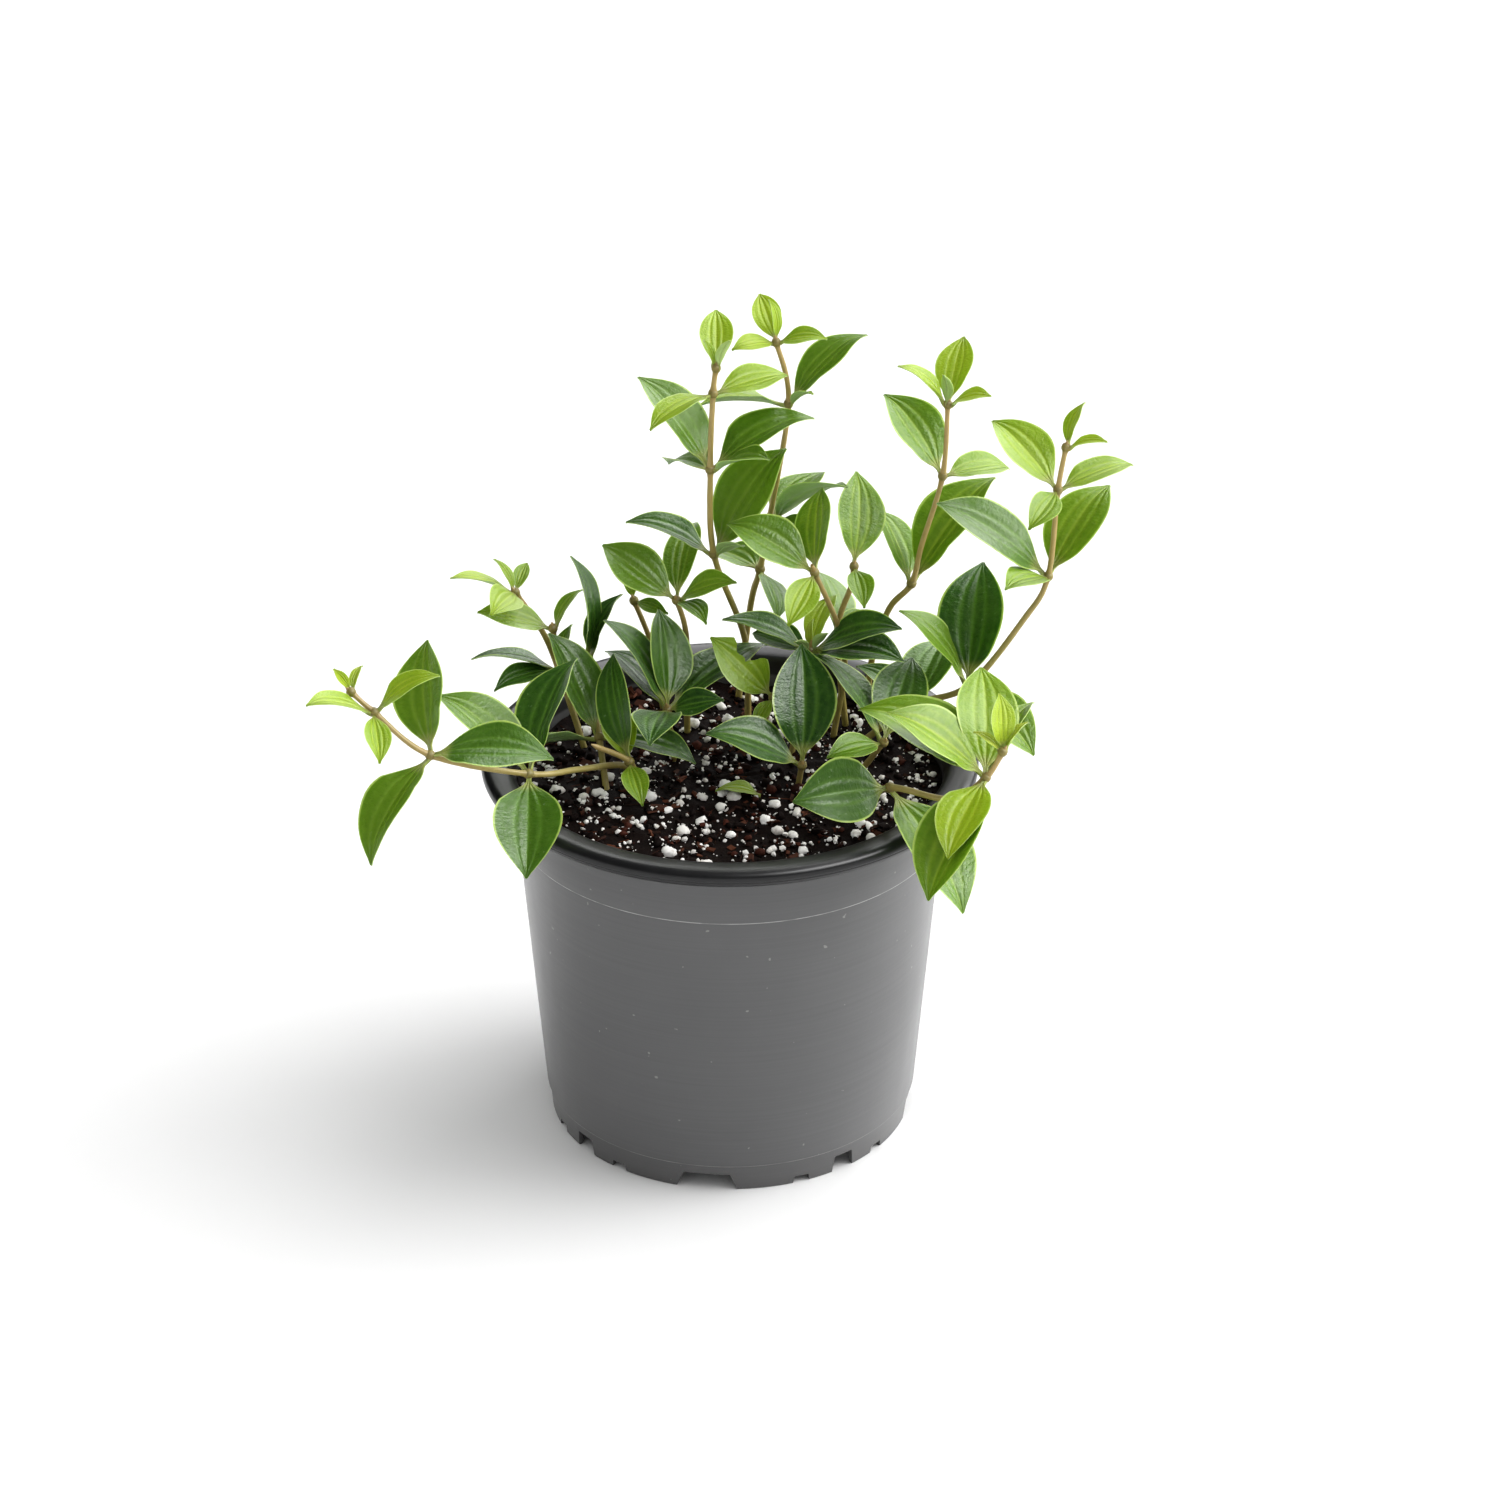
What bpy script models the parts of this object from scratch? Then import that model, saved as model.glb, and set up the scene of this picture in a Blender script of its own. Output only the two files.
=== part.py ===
"""Potted peperomia: trailing shoots with whorls of parallel-veined leaves, in a round nursery pot.

The pot is turned from one profile and has a flange rim, a raised floor and a notched foot ring.
The soil fills the pot. Each shoot is a stem planted in the soil, and each whorl of leaves grows
from a swollen collar around its stem. All lengths in this script are metres, with +Z up.
"""
import math

import bmesh
import bpy
from mathutils import Matrix, Vector
from mathutils.bvhtree import BVHTree

MM = 0.001

# Driving dimensions of the pot.
RIM_RADIUS = 80 * MM
POT_HEIGHT = 128.6 * MM
FOOT_RADIUS = 59.6 * MM
FOOT_HEIGHT = 9.5 * MM
WALL = 1.6 * MM
FLANGE_WIDTH = 10 * MM
FLANGE_DROP = 4.5 * MM
BAND_DROP = 24 * MM
STEP = 0.5 * MM
FLOOR_HEIGHT = 7.4 * MM
DRAIN_RADIUS = 4 * MM
DRAIN_COUNT = 8
POT_SIDES = 40

# Driving dimensions of the soil and the plant.
SOIL_DROP = 8.6 * MM
SOIL_SIDES = 32
CLEARANCE = 0.3 * MM
COLLAR_CLEARANCE = 0.4 * MM
PLANTED_DEPTH = 10 * MM
SOCKET_RISE = 8 * MM
STEM_BASE_RADIUS = 1.5 * MM
STEM_TIP_RADIUS = 0.9 * MM
STEM_SIDES = 6
STEM_POINT_SPACING = 9 * MM
BUD_LENGTH = 2.5 * MM
COLLAR_SIDES = 8
COLLAR_SWELL = 1.1 * MM
COLLAR_HEIGHT = 2.8 * MM
LEAF_THICKNESS = 0.9 * MM
STALK_HALF_WIDTH = 0.5 * MM
LEAF_SCALE = 1.0
LEAF_BOW = 0.06

# A leaf that would run into its surroundings turns aside, in steps of this many degrees.
TURN_STEP = 6
TURN_LIMIT = 7

# The routes below were drawn for this radius inside the pot, and spread out with the pot.
DRAWN_SOIL_RADIUS = 68.68 * MM

# Each shoot has the points of its stem in millimetres, right, back and up from the middle of the
# soil's surface, and its whorls by the number of the point where they grow. A leaf is its heading
# (0 points back, 90 right), its rise above the level and its roll, in degrees, its length from the
# stem's middle in millimetres, and a width ratio where the usual one does not suit it:
# (heading, rise, length, roll) or (heading, rise, length, roll, ratio).
SHOOTS = {
    "tall_left": (
        [(6, 42, 0), (5, 38, 30), (-5, 27, 66), (-6, 22, 98), (-5, 20, 125), (-4, 19, 134)],
        {
            2: [(-80, 20, 30, 0), (135, 30, 16, 30), (74, 55, 41, -20)],
            3: [(-50, 40, 38, -5), (65, 20, 38, 0), (130, 25, 26, -5), (-30, -15, 28, 0)],
            4: [(65, 5, 26, -15), (-130, -10, 26, -5)],
            5: [(0, 35, 22, 0), (-90, 70, 10, 30), (125, 65, 12, 20)],
        },
    ),
    "tall_back": (
        [(3, 56, 0), (7, 50, 37), (10, 49, 50), (13, 47, 69), (19, 44, 111), (15, 42, 133)],
        {
            2: [(165, -15, 24, 30), (-30, -10, 30, 5)],
            3: [(35, 10, 32, 15), (125, 35, 34, 25), (155, 10, 22, 0)],
            4: [(-100, 5, 29, -15), (60, 35, 34, 5), (140, 35, 14, 15)],
            5: [(-120, 5, 16, 20), (110, 15, 17, -20), (-20, 35, 19, 20), (-45, 80, 14, -10)],
        },
    ),
    "right_back": (
        [(45, 44, 0), (47, 42, 22), (52, 38, 41), (59, 36, 51), (62, 34, 66), (68, 30, 92),
         (69, 27, 118)],
        {
            3: [(-25, 35, 30, -25), (50, 40, 45, 5)],
            5: [(-45, 40, 33, 10), (60, -5, 26, -15)],
            6: [(-80, 40, 20, 0), (125, 25, 17, -15), (15, 35, 26, 15), (-150, 75, 12, 0)],
        },
    ),
    "right_arching": (
        [(44, 24, 0), (60, 20, 15), (77, 14, 25), (94, 10, 51), (101, 8, 67), (103, 6, 98),
         (105, 5, 113)],
        {
            1: [(20, 15, 34, 5), (-55, 20, 24, 0)],
            2: [(10, 50, 42, 10), (-75, 50, 34, -5), (135, -25, 32, -15)],
            4: [(40, 35, 38, 0), (-85, 35, 43, 15), (-145, 15, 26, 10)],
            5: [(-45, 30, 32, 10), (65, 10, 27, -5), (-150, -15, 20, 25)],
            6: [(30, 45, 16, 35), (115, 20, 14, -15)],
        },
    ),
    "centre": (
        [(34, 27, 0), (37, 22, 34), (27, 9, 68)],
        {
            2: [(-70, 25, 32, 25), (5, 40, 30, 40), (-155, -25, 22, 20)],
        },
    ),
    "centre_back": (
        [(38, 36, 0), (35, 30, 36), (39, 27, 54), (40, 26, 62)],
        {
            1: [(0, 35, 32, -40), (40, 0, 18, -15)],
            3: [(5, 50, 32, -30), (170, -20, 18, 0)],
        },
    ),
    "centre_left": (
        [(-14, 32, 0), (-14, 27, 36), (-17, 18, 54)],
        {
            2: [(-64, 29, 30, 28), (118, 29, 24, -25), (9, 19, 38, 20, 0.35), (148, 1, 18, 0)],
        },
    ),
    "budding": (
        [(-22, 46, 0), (-25, 40, 25), (-31, 36, 45)],
        {
            2: [(-50, 70, 12, 30), (130, 0, 14, -40)],
        },
    ),
    "left_back": (
        [(-50, 34, 0), (-58, 32, 29), (-63, 30, 41), (-69, 28, 52)],
        {
            3: [(-165, 10, 24, 30), (-100, 20, 22, -10), (15, 20, 14, -10), (-45, 45, 13, -20)],
        },
    ),
    "left": (
        [(-48, 22, 0), (-55, 26, 25), (-57, 24, 41)],
        {
            1: [(-90, 5, 29, -15), (-120, 0, 24, 5), (16, 50, 16, 40)],
            2: [(-95, 18, 25, 20), (34, 28, 18, 30)],
        },
    ),
    "left_low": (
        [(-40, -5, 0), (-42, 2, 13), (-44, 12, 22), (-46, 21, 30)],
        {
            1: [(-45, 55, 37, -10), (115, 2, 33, 0), (-100, -5, 30, -30)],
            3: [(-5, 64, 35, -60), (32, 42, 26, 30)],
        },
    ),
    "left_trailing": (
        [(-31, -1, 0), (-35, -8, 8), (-48, -22, 14), (-63, -36, 20), (-93, -44, 31),
         (-110, -42, 45), (-117, -40, 51)],
        {
            3: [(180, -30, 37, 0, 0.6), (-58, 31, 39, 0), (24, 39, 42, 30)],
            4: [(-5, 45, 38, 40), (100, 5, 39, -15), (-140, -40, 39, -15)],
            5: [(90, 35, 24, -10), (170, -30, 18, 15), (-118, 25, 25, 5)],
            6: [(-65, 40, 9, 30), (15, 25, 11, 25)],
        },
    ),
    "front_left": (
        [(-29, -8, 0), (-32, -15, 13), (-42, -20, 21)],
        {
            1: [(-30, 45, 23, 0), (165, -20, 18, -5), (-7, 43, 37, 50, 0.4)],
        },
    ),
    "right_front": (
        [(42, -22, 0), (50, -42, 18), (68, -53, 20), (79, -54, 28), (84, -54, 37)],
        {
            1: [(-118, 7, 34, 50, 0.64), (145, -33, 47, 8)],
            3: [(-154, -24, 32, -5), (-58, 17, 47, 5), (-83, 36, 37, 15), (0, 36, 39, -15),
                (25, 38, 39, 30, 0.35), (-145, -40, 43, -8)],
            4: [(0, 66, 18, -20), (-80, 35, 11, 15), (60, 45, 12, 10)],
        },
    ),
    "front_low": (
        [(-18, 12, 0), (-20, 2, 23)],
        {
            1: [(0, 45, 34, -35), (-170, 8, 30, 0), (110, 20, 20, -40), (-40, 20, 32, -15),
                (40, 30, 46, 15), (-60, 45, 35, -15)],
        },
    ),
    "front_upright": (
        [(22, -6, 0), (23, -12, 10)],
        {
            1: [(0, 50, 39, 0), (-95, 25, 33, 20)],
        },
    ),
    "right_low": (
        [(42, 2, 0), (49, -8, 16)],
        {
            1: [(-45, 40, 38, -25), (20, 30, 34, -15), (-125, 5, 22, 20)],
        },
    ),
    "centre_low": (
        [(8, 17, 0), (14, 10, 23)],
        {
            1: [(-88, 47, 29, 55), (-150, -20, 14, 20)],
        },
    ),
    "centre_bud": (
        [(20, 14, 0), (26, 16, 37)],
        {
            1: [(-51, -2, 24, 20), (-80, 18, 30, -5), (114, 26, 34, -15), (125, 11, 36, -5),
                (25, 19, 27, 25, 0.4), (-137, 40, 10, -35), (5, 63, 10, 45), (132, 40, 10, 45)],
        },
    ),
}

# Where a blade is along the leaf, and how much of its full width it has there.
LEAF_STATIONS = [(0.13, 0.10), (0.34, 0.86), (0.64, 0.92), (1.00, 0.06)]
BUD_LEAF_LIMIT = 15 * MM
YOUNG_LEAF_LIMIT = 28 * MM
BUD_RATIO = 0.38
YOUNG_RATIO = 0.50
MATURE_RATIO = 0.54

# The notches in the foot ring repeat four times around it, and are given as (angle from the front
# in degrees, width at the bottom, width at the top, height).
NOTCH_REPEATS = 4
NOTCHES = [
    (-7.5, 24.5 * MM, 15 * MM, 6 * MM),
    (22.5, 6.5 * MM, 5 * MM, 2.5 * MM),
    (37.5, 10 * MM, 7 * MM, 6 * MM),
    (52.5, 6.5 * MM, 5 * MM, 2.5 * MM),
]

COLOURS = {
    "pot": (0.115, 0.115, 0.118, 0.42, 0.0),
    "soil": (0.035, 0.022, 0.015, 0.95, 0.0),
    "stem": (0.33, 0.24, 0.08, 0.5, 0.0),
    "leaf_mature": (0.055, 0.17, 0.035, 0.35, 0.0),
    "leaf_young": (0.22, 0.42, 0.04, 0.4, 0.0),
}


def clear_scene():
    """Remove whatever objects the scene holds."""
    for old in list(bpy.data.objects):
        bpy.data.objects.remove(old, do_unlink=True)


def material(name):
    """Return the Principled material of a kind of piece, made once."""
    found = bpy.data.materials.get(name)
    if found:
        return found
    red, green, blue, roughness, metallic = COLOURS[name]
    made = bpy.data.materials.new(name)
    made.use_nodes = True
    shader = made.node_tree.nodes["Principled BSDF"]
    shader.inputs["Base Color"].default_value = (red, green, blue, 1.0)
    shader.inputs["Roughness"].default_value = roughness
    shader.inputs["Metallic"].default_value = metallic
    return made


def add_object(name, data, kind, parent):
    """Link a mesh or a curve into the scene as a named piece."""
    piece = bpy.data.objects.new(name, data)
    bpy.context.scene.collection.objects.link(piece)
    piece.parent = parent
    if kind:
        data.materials.append(material(kind))
    return piece


def finish_mesh(bm, name):
    """Turn a bmesh into a mesh with outward faces and smooth rounds."""
    bmesh.ops.recalc_face_normals(bm, faces=bm.faces)
    mesh = bpy.data.meshes.new(name)
    bm.to_mesh(mesh)
    bm.free()
    mesh.shade_smooth()
    mesh.set_sharp_from_angle(angle=math.radians(35))
    return mesh


def turned(profile, sides):
    """Spin a closed outline of (radius, height) points once around the Z axis."""
    bm = bmesh.new()
    verts = [bm.verts.new((radius, 0, height)) for radius, height in profile]
    edges = [bm.edges.new((a, b)) for a, b in zip(verts, verts[1:] + verts[:1])
             if not (a.co.x == 0 and b.co.x == 0)]
    bmesh.ops.spin(bm, geom=verts + edges, axis=(0, 0, 1), cent=(0, 0, 0), angle=math.tau,
                   steps=sides, use_merge=True)
    bmesh.ops.remove_doubles(bm, verts=bm.verts, dist=1e-6)
    return bm


def add_cutter(target, name, bm, parent):
    """Cut a shape out of a piece with an exact Boolean."""
    cutter = add_object(name, finish_mesh(bm, name), None, parent)
    cutter.hide_render = True
    cutter.display_type = "WIRE"
    cut = target.modifiers.new(name, "BOOLEAN")
    cut.operation = "DIFFERENCE"
    cut.solver = "EXACT"
    cut.object = cutter


def wall_radius(height):
    """Outer radius of the plain tapered wall at a height."""
    top = POT_HEIGHT - BAND_DROP
    share = (height - FOOT_HEIGHT) / (top - FOOT_HEIGHT)
    low = FOOT_RADIUS + 3 * STEP
    high = RIM_RADIUS - FLANGE_WIDTH - 2 * STEP
    return low + (high - low) * share


def inner_radius(height):
    """Inner radius of the pot at a height."""
    return wall_radius(height) - WALL


def pot_profile():
    """Outline of the pot's section: outside from the foot up, over the flange, and down inside."""
    band = POT_HEIGHT - BAND_DROP
    lip = POT_HEIGHT - FLANGE_DROP
    under = lip - FLANGE_DROP / 2
    neck = inner_radius(lip)
    floor_top = FLOOR_HEIGHT + WALL
    outside = [
        (FOOT_RADIUS, 0),
        (FOOT_RADIUS + 2 * STEP, FOOT_HEIGHT),
        (wall_radius(FOOT_HEIGHT), FOOT_HEIGHT),
        (wall_radius(band), band),
        (wall_radius(band) + STEP, band),
        (wall_radius(under) + STEP, under),
        (RIM_RADIUS - 3 * STEP, lip - STEP),
        (RIM_RADIUS, lip + 2 * STEP),
        (RIM_RADIUS, POT_HEIGHT - 3 * STEP),
        (RIM_RADIUS - 4 * STEP, POT_HEIGHT - STEP / 2),
        (RIM_RADIUS - 7 * STEP, POT_HEIGHT),
        (RIM_RADIUS - FLANGE_WIDTH, POT_HEIGHT - 2 * STEP),
        (neck, lip),
    ]
    inside = [
        (inner_radius(floor_top), floor_top),
        (0, floor_top),
        (0, FLOOR_HEIGHT),
        (FOOT_RADIUS - WALL, FLOOR_HEIGHT),
        (FOOT_RADIUS - WALL, 0),
    ]
    return outside + inside


def notch_cutter():
    """Wedge blocks through the foot ring, all around it."""
    bm = bmesh.new()
    reach = 8 * MM
    for repeat in range(NOTCH_REPEATS):
        for angle, bottom, top, height in NOTCHES:
            block = bmesh.ops.create_cube(bm, size=1.0)["verts"]
            for vert in block:
                upper = vert.co.z > 0
                width = top if upper else bottom
                drop = height if upper else -height
                vert.co = Vector((vert.co.x * width, -FOOT_RADIUS + vert.co.y * reach, drop))
            turn = math.radians(angle + repeat * 360 / NOTCH_REPEATS)
            bmesh.ops.rotate(bm, verts=block, matrix=Matrix.Rotation(turn, 3, "Z"), cent=(0, 0, 0))
    return bm


def drain_cutter():
    """Round drain holes through the floor, a ring of them and one in the middle."""
    bm = bmesh.new()
    ring = inner_radius(FLOOR_HEIGHT) * 0.72
    places = [(0, 0)]
    for number in range(DRAIN_COUNT):
        angle = math.tau * (number + 0.5) / DRAIN_COUNT
        places.append((ring * math.sin(angle), ring * math.cos(angle)))
    for x, y in places:
        middle = Matrix.Translation((x, y, FLOOR_HEIGHT + WALL / 2))
        bmesh.ops.create_cone(bm, cap_ends=True, segments=12, radius1=DRAIN_RADIUS,
                              radius2=DRAIN_RADIUS, depth=3 * WALL, matrix=middle)
    return bm


def make_pot(parent):
    """The moulded nursery pot."""
    pot = add_object("pot", finish_mesh(turned(pot_profile(), POT_SIDES), "pot"), "pot", parent)
    add_cutter(pot, "foot_notches", notch_cutter(), parent)
    add_cutter(pot, "drain_holes", drain_cutter(), parent)
    return pot


def soil_level():
    """Height of the middle of the soil's surface."""
    return POT_HEIGHT - SOIL_DROP


def soil_height(x, y):
    """Height of the soil's uneven surface at a place in the plan."""
    swell = 1.2 * MM
    wave = 18 * MM
    return soil_level() + swell * (math.sin(x / wave + 0.6) * math.cos(y / wave - 0.4) - 0.5)


def make_soil(parent, shoots):
    """The root ball, tapered like the pot, with a socket around every planted stem."""
    floor = FLOOR_HEIGHT + WALL + CLEARANCE
    level = soil_level()
    edge = inner_radius(level) - CLEARANCE - STEP
    foot = inner_radius(floor) - CLEARANCE - STEP
    rings = [0.0, 0.3, 0.6, 0.85, 1.0]
    profile = [(foot, floor)] + [(edge * share, level) for share in reversed(rings)] + [(0, floor)]
    bm = turned(profile, SOIL_SIDES)
    for vert in bm.verts:
        if vert.co.z > level - MM:
            vert.co.z = soil_height(vert.co.x, vert.co.y)
    soil = add_object("soil", finish_mesh(bm, "soil"), "soil", parent)
    for name, route in shoots.items():
        add_socket(soil, name, route, parent)
    return soil


def place(point):
    """Turn a route point in millimetres into a place in the pot."""
    spread = inner_radius(soil_level()) / DRAWN_SOIL_RADIUS
    return Vector((point[0] * MM * spread, point[1] * MM * spread, soil_level() + point[2] * MM))


def full_route(points):
    """A stem's points from its planted end to its growing tip."""
    route = [place(point) for point in points]
    down = (route[0] - route[1]).normalized()
    ahead = (route[-1] - route[-2]).normalized()
    return [route[0] + down * PLANTED_DEPTH] + route + [route[-1] + ahead * BUD_LENGTH]


def along(route, position):
    """Point and direction on the smooth curve through a route, position counted in points."""
    start = min(int(position), len(route) - 2)
    share = position - start
    before = route[max(start - 1, 0)]
    here = route[start]
    after = route[start + 1]
    beyond = route[min(start + 2, len(route) - 1)]
    slope_in = (after - before) / 2
    slope_out = (beyond - here) / 2
    cube = share ** 3
    square = share ** 2
    point = (here * (2 * cube - 3 * square + 1) + slope_in * (cube - 2 * square + share)
             + after * (3 * square - 2 * cube) + slope_out * (cube - square))
    slope = (here * (6 * square - 6 * share) + slope_in * (3 * square - 4 * share + 1)
             + after * (6 * share - 6 * square) + slope_out * (3 * square - 2 * share))
    return point, slope.normalized()


def stem_radius(route, position):
    """A stem tapers evenly from its planted end to its tip."""
    share = position / (len(route) - 1)
    return STEM_BASE_RADIUS + (STEM_TIP_RADIUS - STEM_BASE_RADIUS) * share


def extend(bm, face, verts, places):
    """Extrude a face once, and move the new corners to their places, in the order given."""
    grown = bmesh.ops.extrude_discrete_faces(bm, faces=[face])["faces"][0]
    partners = [min(grown.verts, key=lambda new: (new.co - old.co).length) for old in verts]
    for vert, spot in zip(partners, places):
        vert.co = spot
    return grown, partners


def tube(route, last, margin):
    """Round tube along a route from its planted end to a position, wider by a margin."""
    positions = [0.0]
    for start in range(len(route) - 1):
        gap = (route[start + 1] - route[start]).length
        steps = max(1, round(gap / STEM_POINT_SPACING))
        positions += [start + (step + 1) / steps for step in range(steps)]
    positions = [position for position in positions if position < last] + [last]
    bm = bmesh.new()
    point, heading = along(route, 0.0)
    turn = Vector((0, 0, 1)).rotation_difference(heading)
    rim = [turn @ Vector((math.cos(angle), math.sin(angle), 0))
           for angle in (math.tau * side / STEM_SIDES for side in range(STEM_SIDES))]
    radius = stem_radius(route, 0.0) + margin
    verts = [bm.verts.new(point + spoke * radius) for spoke in rim]
    face = bm.faces.new(verts)
    planted_end = list(verts)
    for position in positions[1:]:
        point, direction = along(route, position)
        turn = heading.rotation_difference(direction)
        rim = [turn @ spoke for spoke in rim]
        heading = direction
        radius = stem_radius(route, position) + margin
        face, verts = extend(bm, face, verts, [point + spoke * radius for spoke in rim])
    bm.faces.new(planted_end)
    return bm


def add_socket(soil, name, route, parent):
    """Cut a close socket for a stem into the soil, along the stem's own route."""
    margin = CLEARANCE / math.cos(math.pi / STEM_SIDES)
    above = min(1.0, SOCKET_RISE / (route[2] - route[1]).length)
    add_cutter(soil, "socket_" + name, tube(route, 1.0 + above, margin), parent)


def leaf_ratio(length):
    """Usual width of a leaf over its length: young leaves are slimmer."""
    if length < BUD_LEAF_LIMIT:
        return BUD_RATIO
    if length < YOUNG_LEAF_LIMIT:
        return YOUNG_RATIO
    return MATURE_RATIO


def leaf_axes(heading, rise, roll):
    """Directions along a leaf, across it, and out of its upper face."""
    turn = math.radians(heading)
    lift = math.radians(rise)
    forward = Vector((math.cos(lift) * math.sin(turn), math.cos(lift) * math.cos(turn),
                      math.sin(lift)))
    across = Vector((math.cos(turn), -math.sin(turn), 0))
    up = across.cross(forward)
    twist = Matrix.Rotation(-math.radians(roll), 3, forward)
    return forward, twist @ across, twist @ up


def collar(middle, direction, stem):
    """Swollen ring around a stem, and its outer side faces."""
    bm = bmesh.new()
    flat = math.cos(math.pi / COLLAR_SIDES)
    loops = []
    bore = stem + COLLAR_CLEARANCE
    for radius in (bore / flat, (bore + COLLAR_SWELL) / flat):
        made = bmesh.ops.create_circle(bm, segments=COLLAR_SIDES, radius=radius)
        loops.append(made["verts"])
    edges = [edge for loop in loops for edge in {e for vert in loop for e in vert.link_edges}]
    bmesh.ops.bridge_loops(bm, edges=edges)
    raised = bmesh.ops.extrude_face_region(bm, geom=bm.faces[:])["geom"]
    lift = [item for item in raised if isinstance(item, bmesh.types.BMVert)]
    bmesh.ops.translate(bm, verts=lift, vec=(0, 0, COLLAR_HEIGHT))
    bmesh.ops.recalc_face_normals(bm, faces=bm.faces)
    bmesh.ops.translate(bm, verts=bm.verts, vec=(0, 0, -COLLAR_HEIGHT / 2))
    turn = Vector((0, 0, 1)).rotation_difference(direction).to_matrix()
    bmesh.ops.transform(bm, matrix=Matrix.Translation(middle) @ turn.to_4x4(), verts=bm.verts)
    bm.normal_update()
    sides = []
    for face in bm.faces:
        outward = face.calc_center_median() - middle
        if abs(face.normal.dot(direction)) < 0.5 and face.normal.dot(outward) > 0:
            sides.append(face)
    return bm, sides


def leaf_rings(start, middle, leaf, turn, margin):
    """Corners of a leaf's sections from its stalk to its tip, thicker all round by a margin."""
    length = leaf[2] * MM
    reach = length * LEAF_SCALE
    ratio = leaf[4] if len(leaf) > 4 else leaf_ratio(length)
    forward, across, up = leaf_axes(leaf[0] + turn[0], leaf[1] + turn[1], leaf[3] + turn[2])
    tip = middle + forward * reach
    rings = []
    for position, share in LEAF_STATIONS:
        bow = up * reach * LEAF_BOW * 4 * position * (1 - position)
        centre = start.lerp(tip, position) + bow
        side = across * (max(ratio * reach * share / 2, STALK_HALF_WIDTH) + margin)
        top = up * (LEAF_THICKNESS / 2 + margin)
        rings.append([centre - side - top, centre + side - top, centre + side + top,
                      centre - side + top])
    return rings


def ring_tree(rings):
    """Search tree of the surface through a leaf's sections."""
    points = [corner for ring in rings for corner in ring]
    faces = [[first + side, first + (side + 1) % 4, first + 4 + (side + 1) % 4, first + 4 + side]
             for first in range(0, len(points) - 4, 4) for side in range(4)]
    return BVHTree.FromPolygons(points, faces)


def mesh_tree(mesh):
    """Search tree of a finished mesh."""
    points = [vert.co for vert in mesh.vertices]
    return BVHTree.FromPolygons(points, [list(face.vertices) for face in mesh.polygons])


def turns():
    """Ways to turn a leaf aside, as degrees of heading, rise and roll, the gentlest first."""
    steps = [TURN_STEP * count for count in range(-TURN_LIMIT, TURN_LIMIT + 1)]
    ways = [(heading, rise, roll) for heading in steps for rise in steps for roll in steps]
    return sorted(ways, key=lambda way: (sum(part ** 2 for part in way), way))


def free_turn(start, middle, leaf, around):
    """The gentlest turn that keeps a leaf clear of everything around it."""
    for turn in turns():
        tree = ring_tree(leaf_rings(start, middle, leaf, turn, CLEARANCE))
        if not any(tree.overlap(other) for other in around):
            return turn
    return (0, 0, 0)


def grow_leaf(bm, face, rings):
    """Extrude a collar's side face into a short stalk and a pointed blade."""
    across = rings[0][1] - rings[0][0]
    up = rings[0][3] - rings[0][0]
    start = face.calc_center_median()
    across.normalize()
    up.normalize()
    verts = sorted(face.verts, key=lambda vert: math.atan2((vert.co - start).dot(up),
                                                           (vert.co - start).dot(across)))
    for ring in rings:
        face, verts = extend(bm, face, verts, ring)


def fill_whorl(bm, sides, middle, direction, leaves, around):
    """Grow a whorl's leaves out of its collar, the level ones first."""
    blades = []
    for leaf in sorted(leaves, key=lambda leaf: abs(leaf[1])):
        forward = leaf_axes(leaf[0], leaf[1], leaf[3])[0]
        outward = forward - direction * forward.dot(direction)
        outward.normalize()
        face = max(sides, key=lambda f: (f.calc_center_median() - middle).dot(outward))
        sides.remove(face)
        start = face.calc_center_median()
        turn = free_turn(start, middle, leaf, around + blades)
        rings = leaf_rings(start, middle, leaf, turn, 0.0)
        grow_leaf(bm, face, rings)
        blades.append(ring_tree(rings))


def make_whorls(routes, around, parent):
    """Every whorl of leaves, each on a collar that slides over its stem with a clearance.

    All the collars come first. The last shoots are the lowest and the most crowded, so their
    leaves grow first, while they still have room, and the open, tall shoots turn aside for them.
    """
    begun = {}
    for shoot, (_, whorls) in SHOOTS.items():
        for count, (number, leaves) in enumerate(sorted(whorls.items()), start=1):
            position = number + 1
            middle, direction = along(routes[shoot], position)
            bm, sides = collar(middle, direction, stem_radius(routes[shoot], position))
            name = f"leaves_{shoot}_{count}"
            begun[name] = (bm, sides, middle, direction, leaves)
            around[name] = BVHTree.FromBMesh(bm)
    for name, (bm, sides, middle, direction, leaves) in reversed(begun.items()):
        del around[name]
        fill_whorl(bm, sides, middle, direction, leaves, list(around.values()))
        bm.normal_update()
        around[name] = BVHTree.FromBMesh(bm)
        youngest = max(leaf[2] for leaf in leaves) * MM < YOUNG_LEAF_LIMIT
        kind = "leaf_young" if youngest else "leaf_mature"
        add_object(name, finish_mesh(bm, name), kind, parent)


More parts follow.
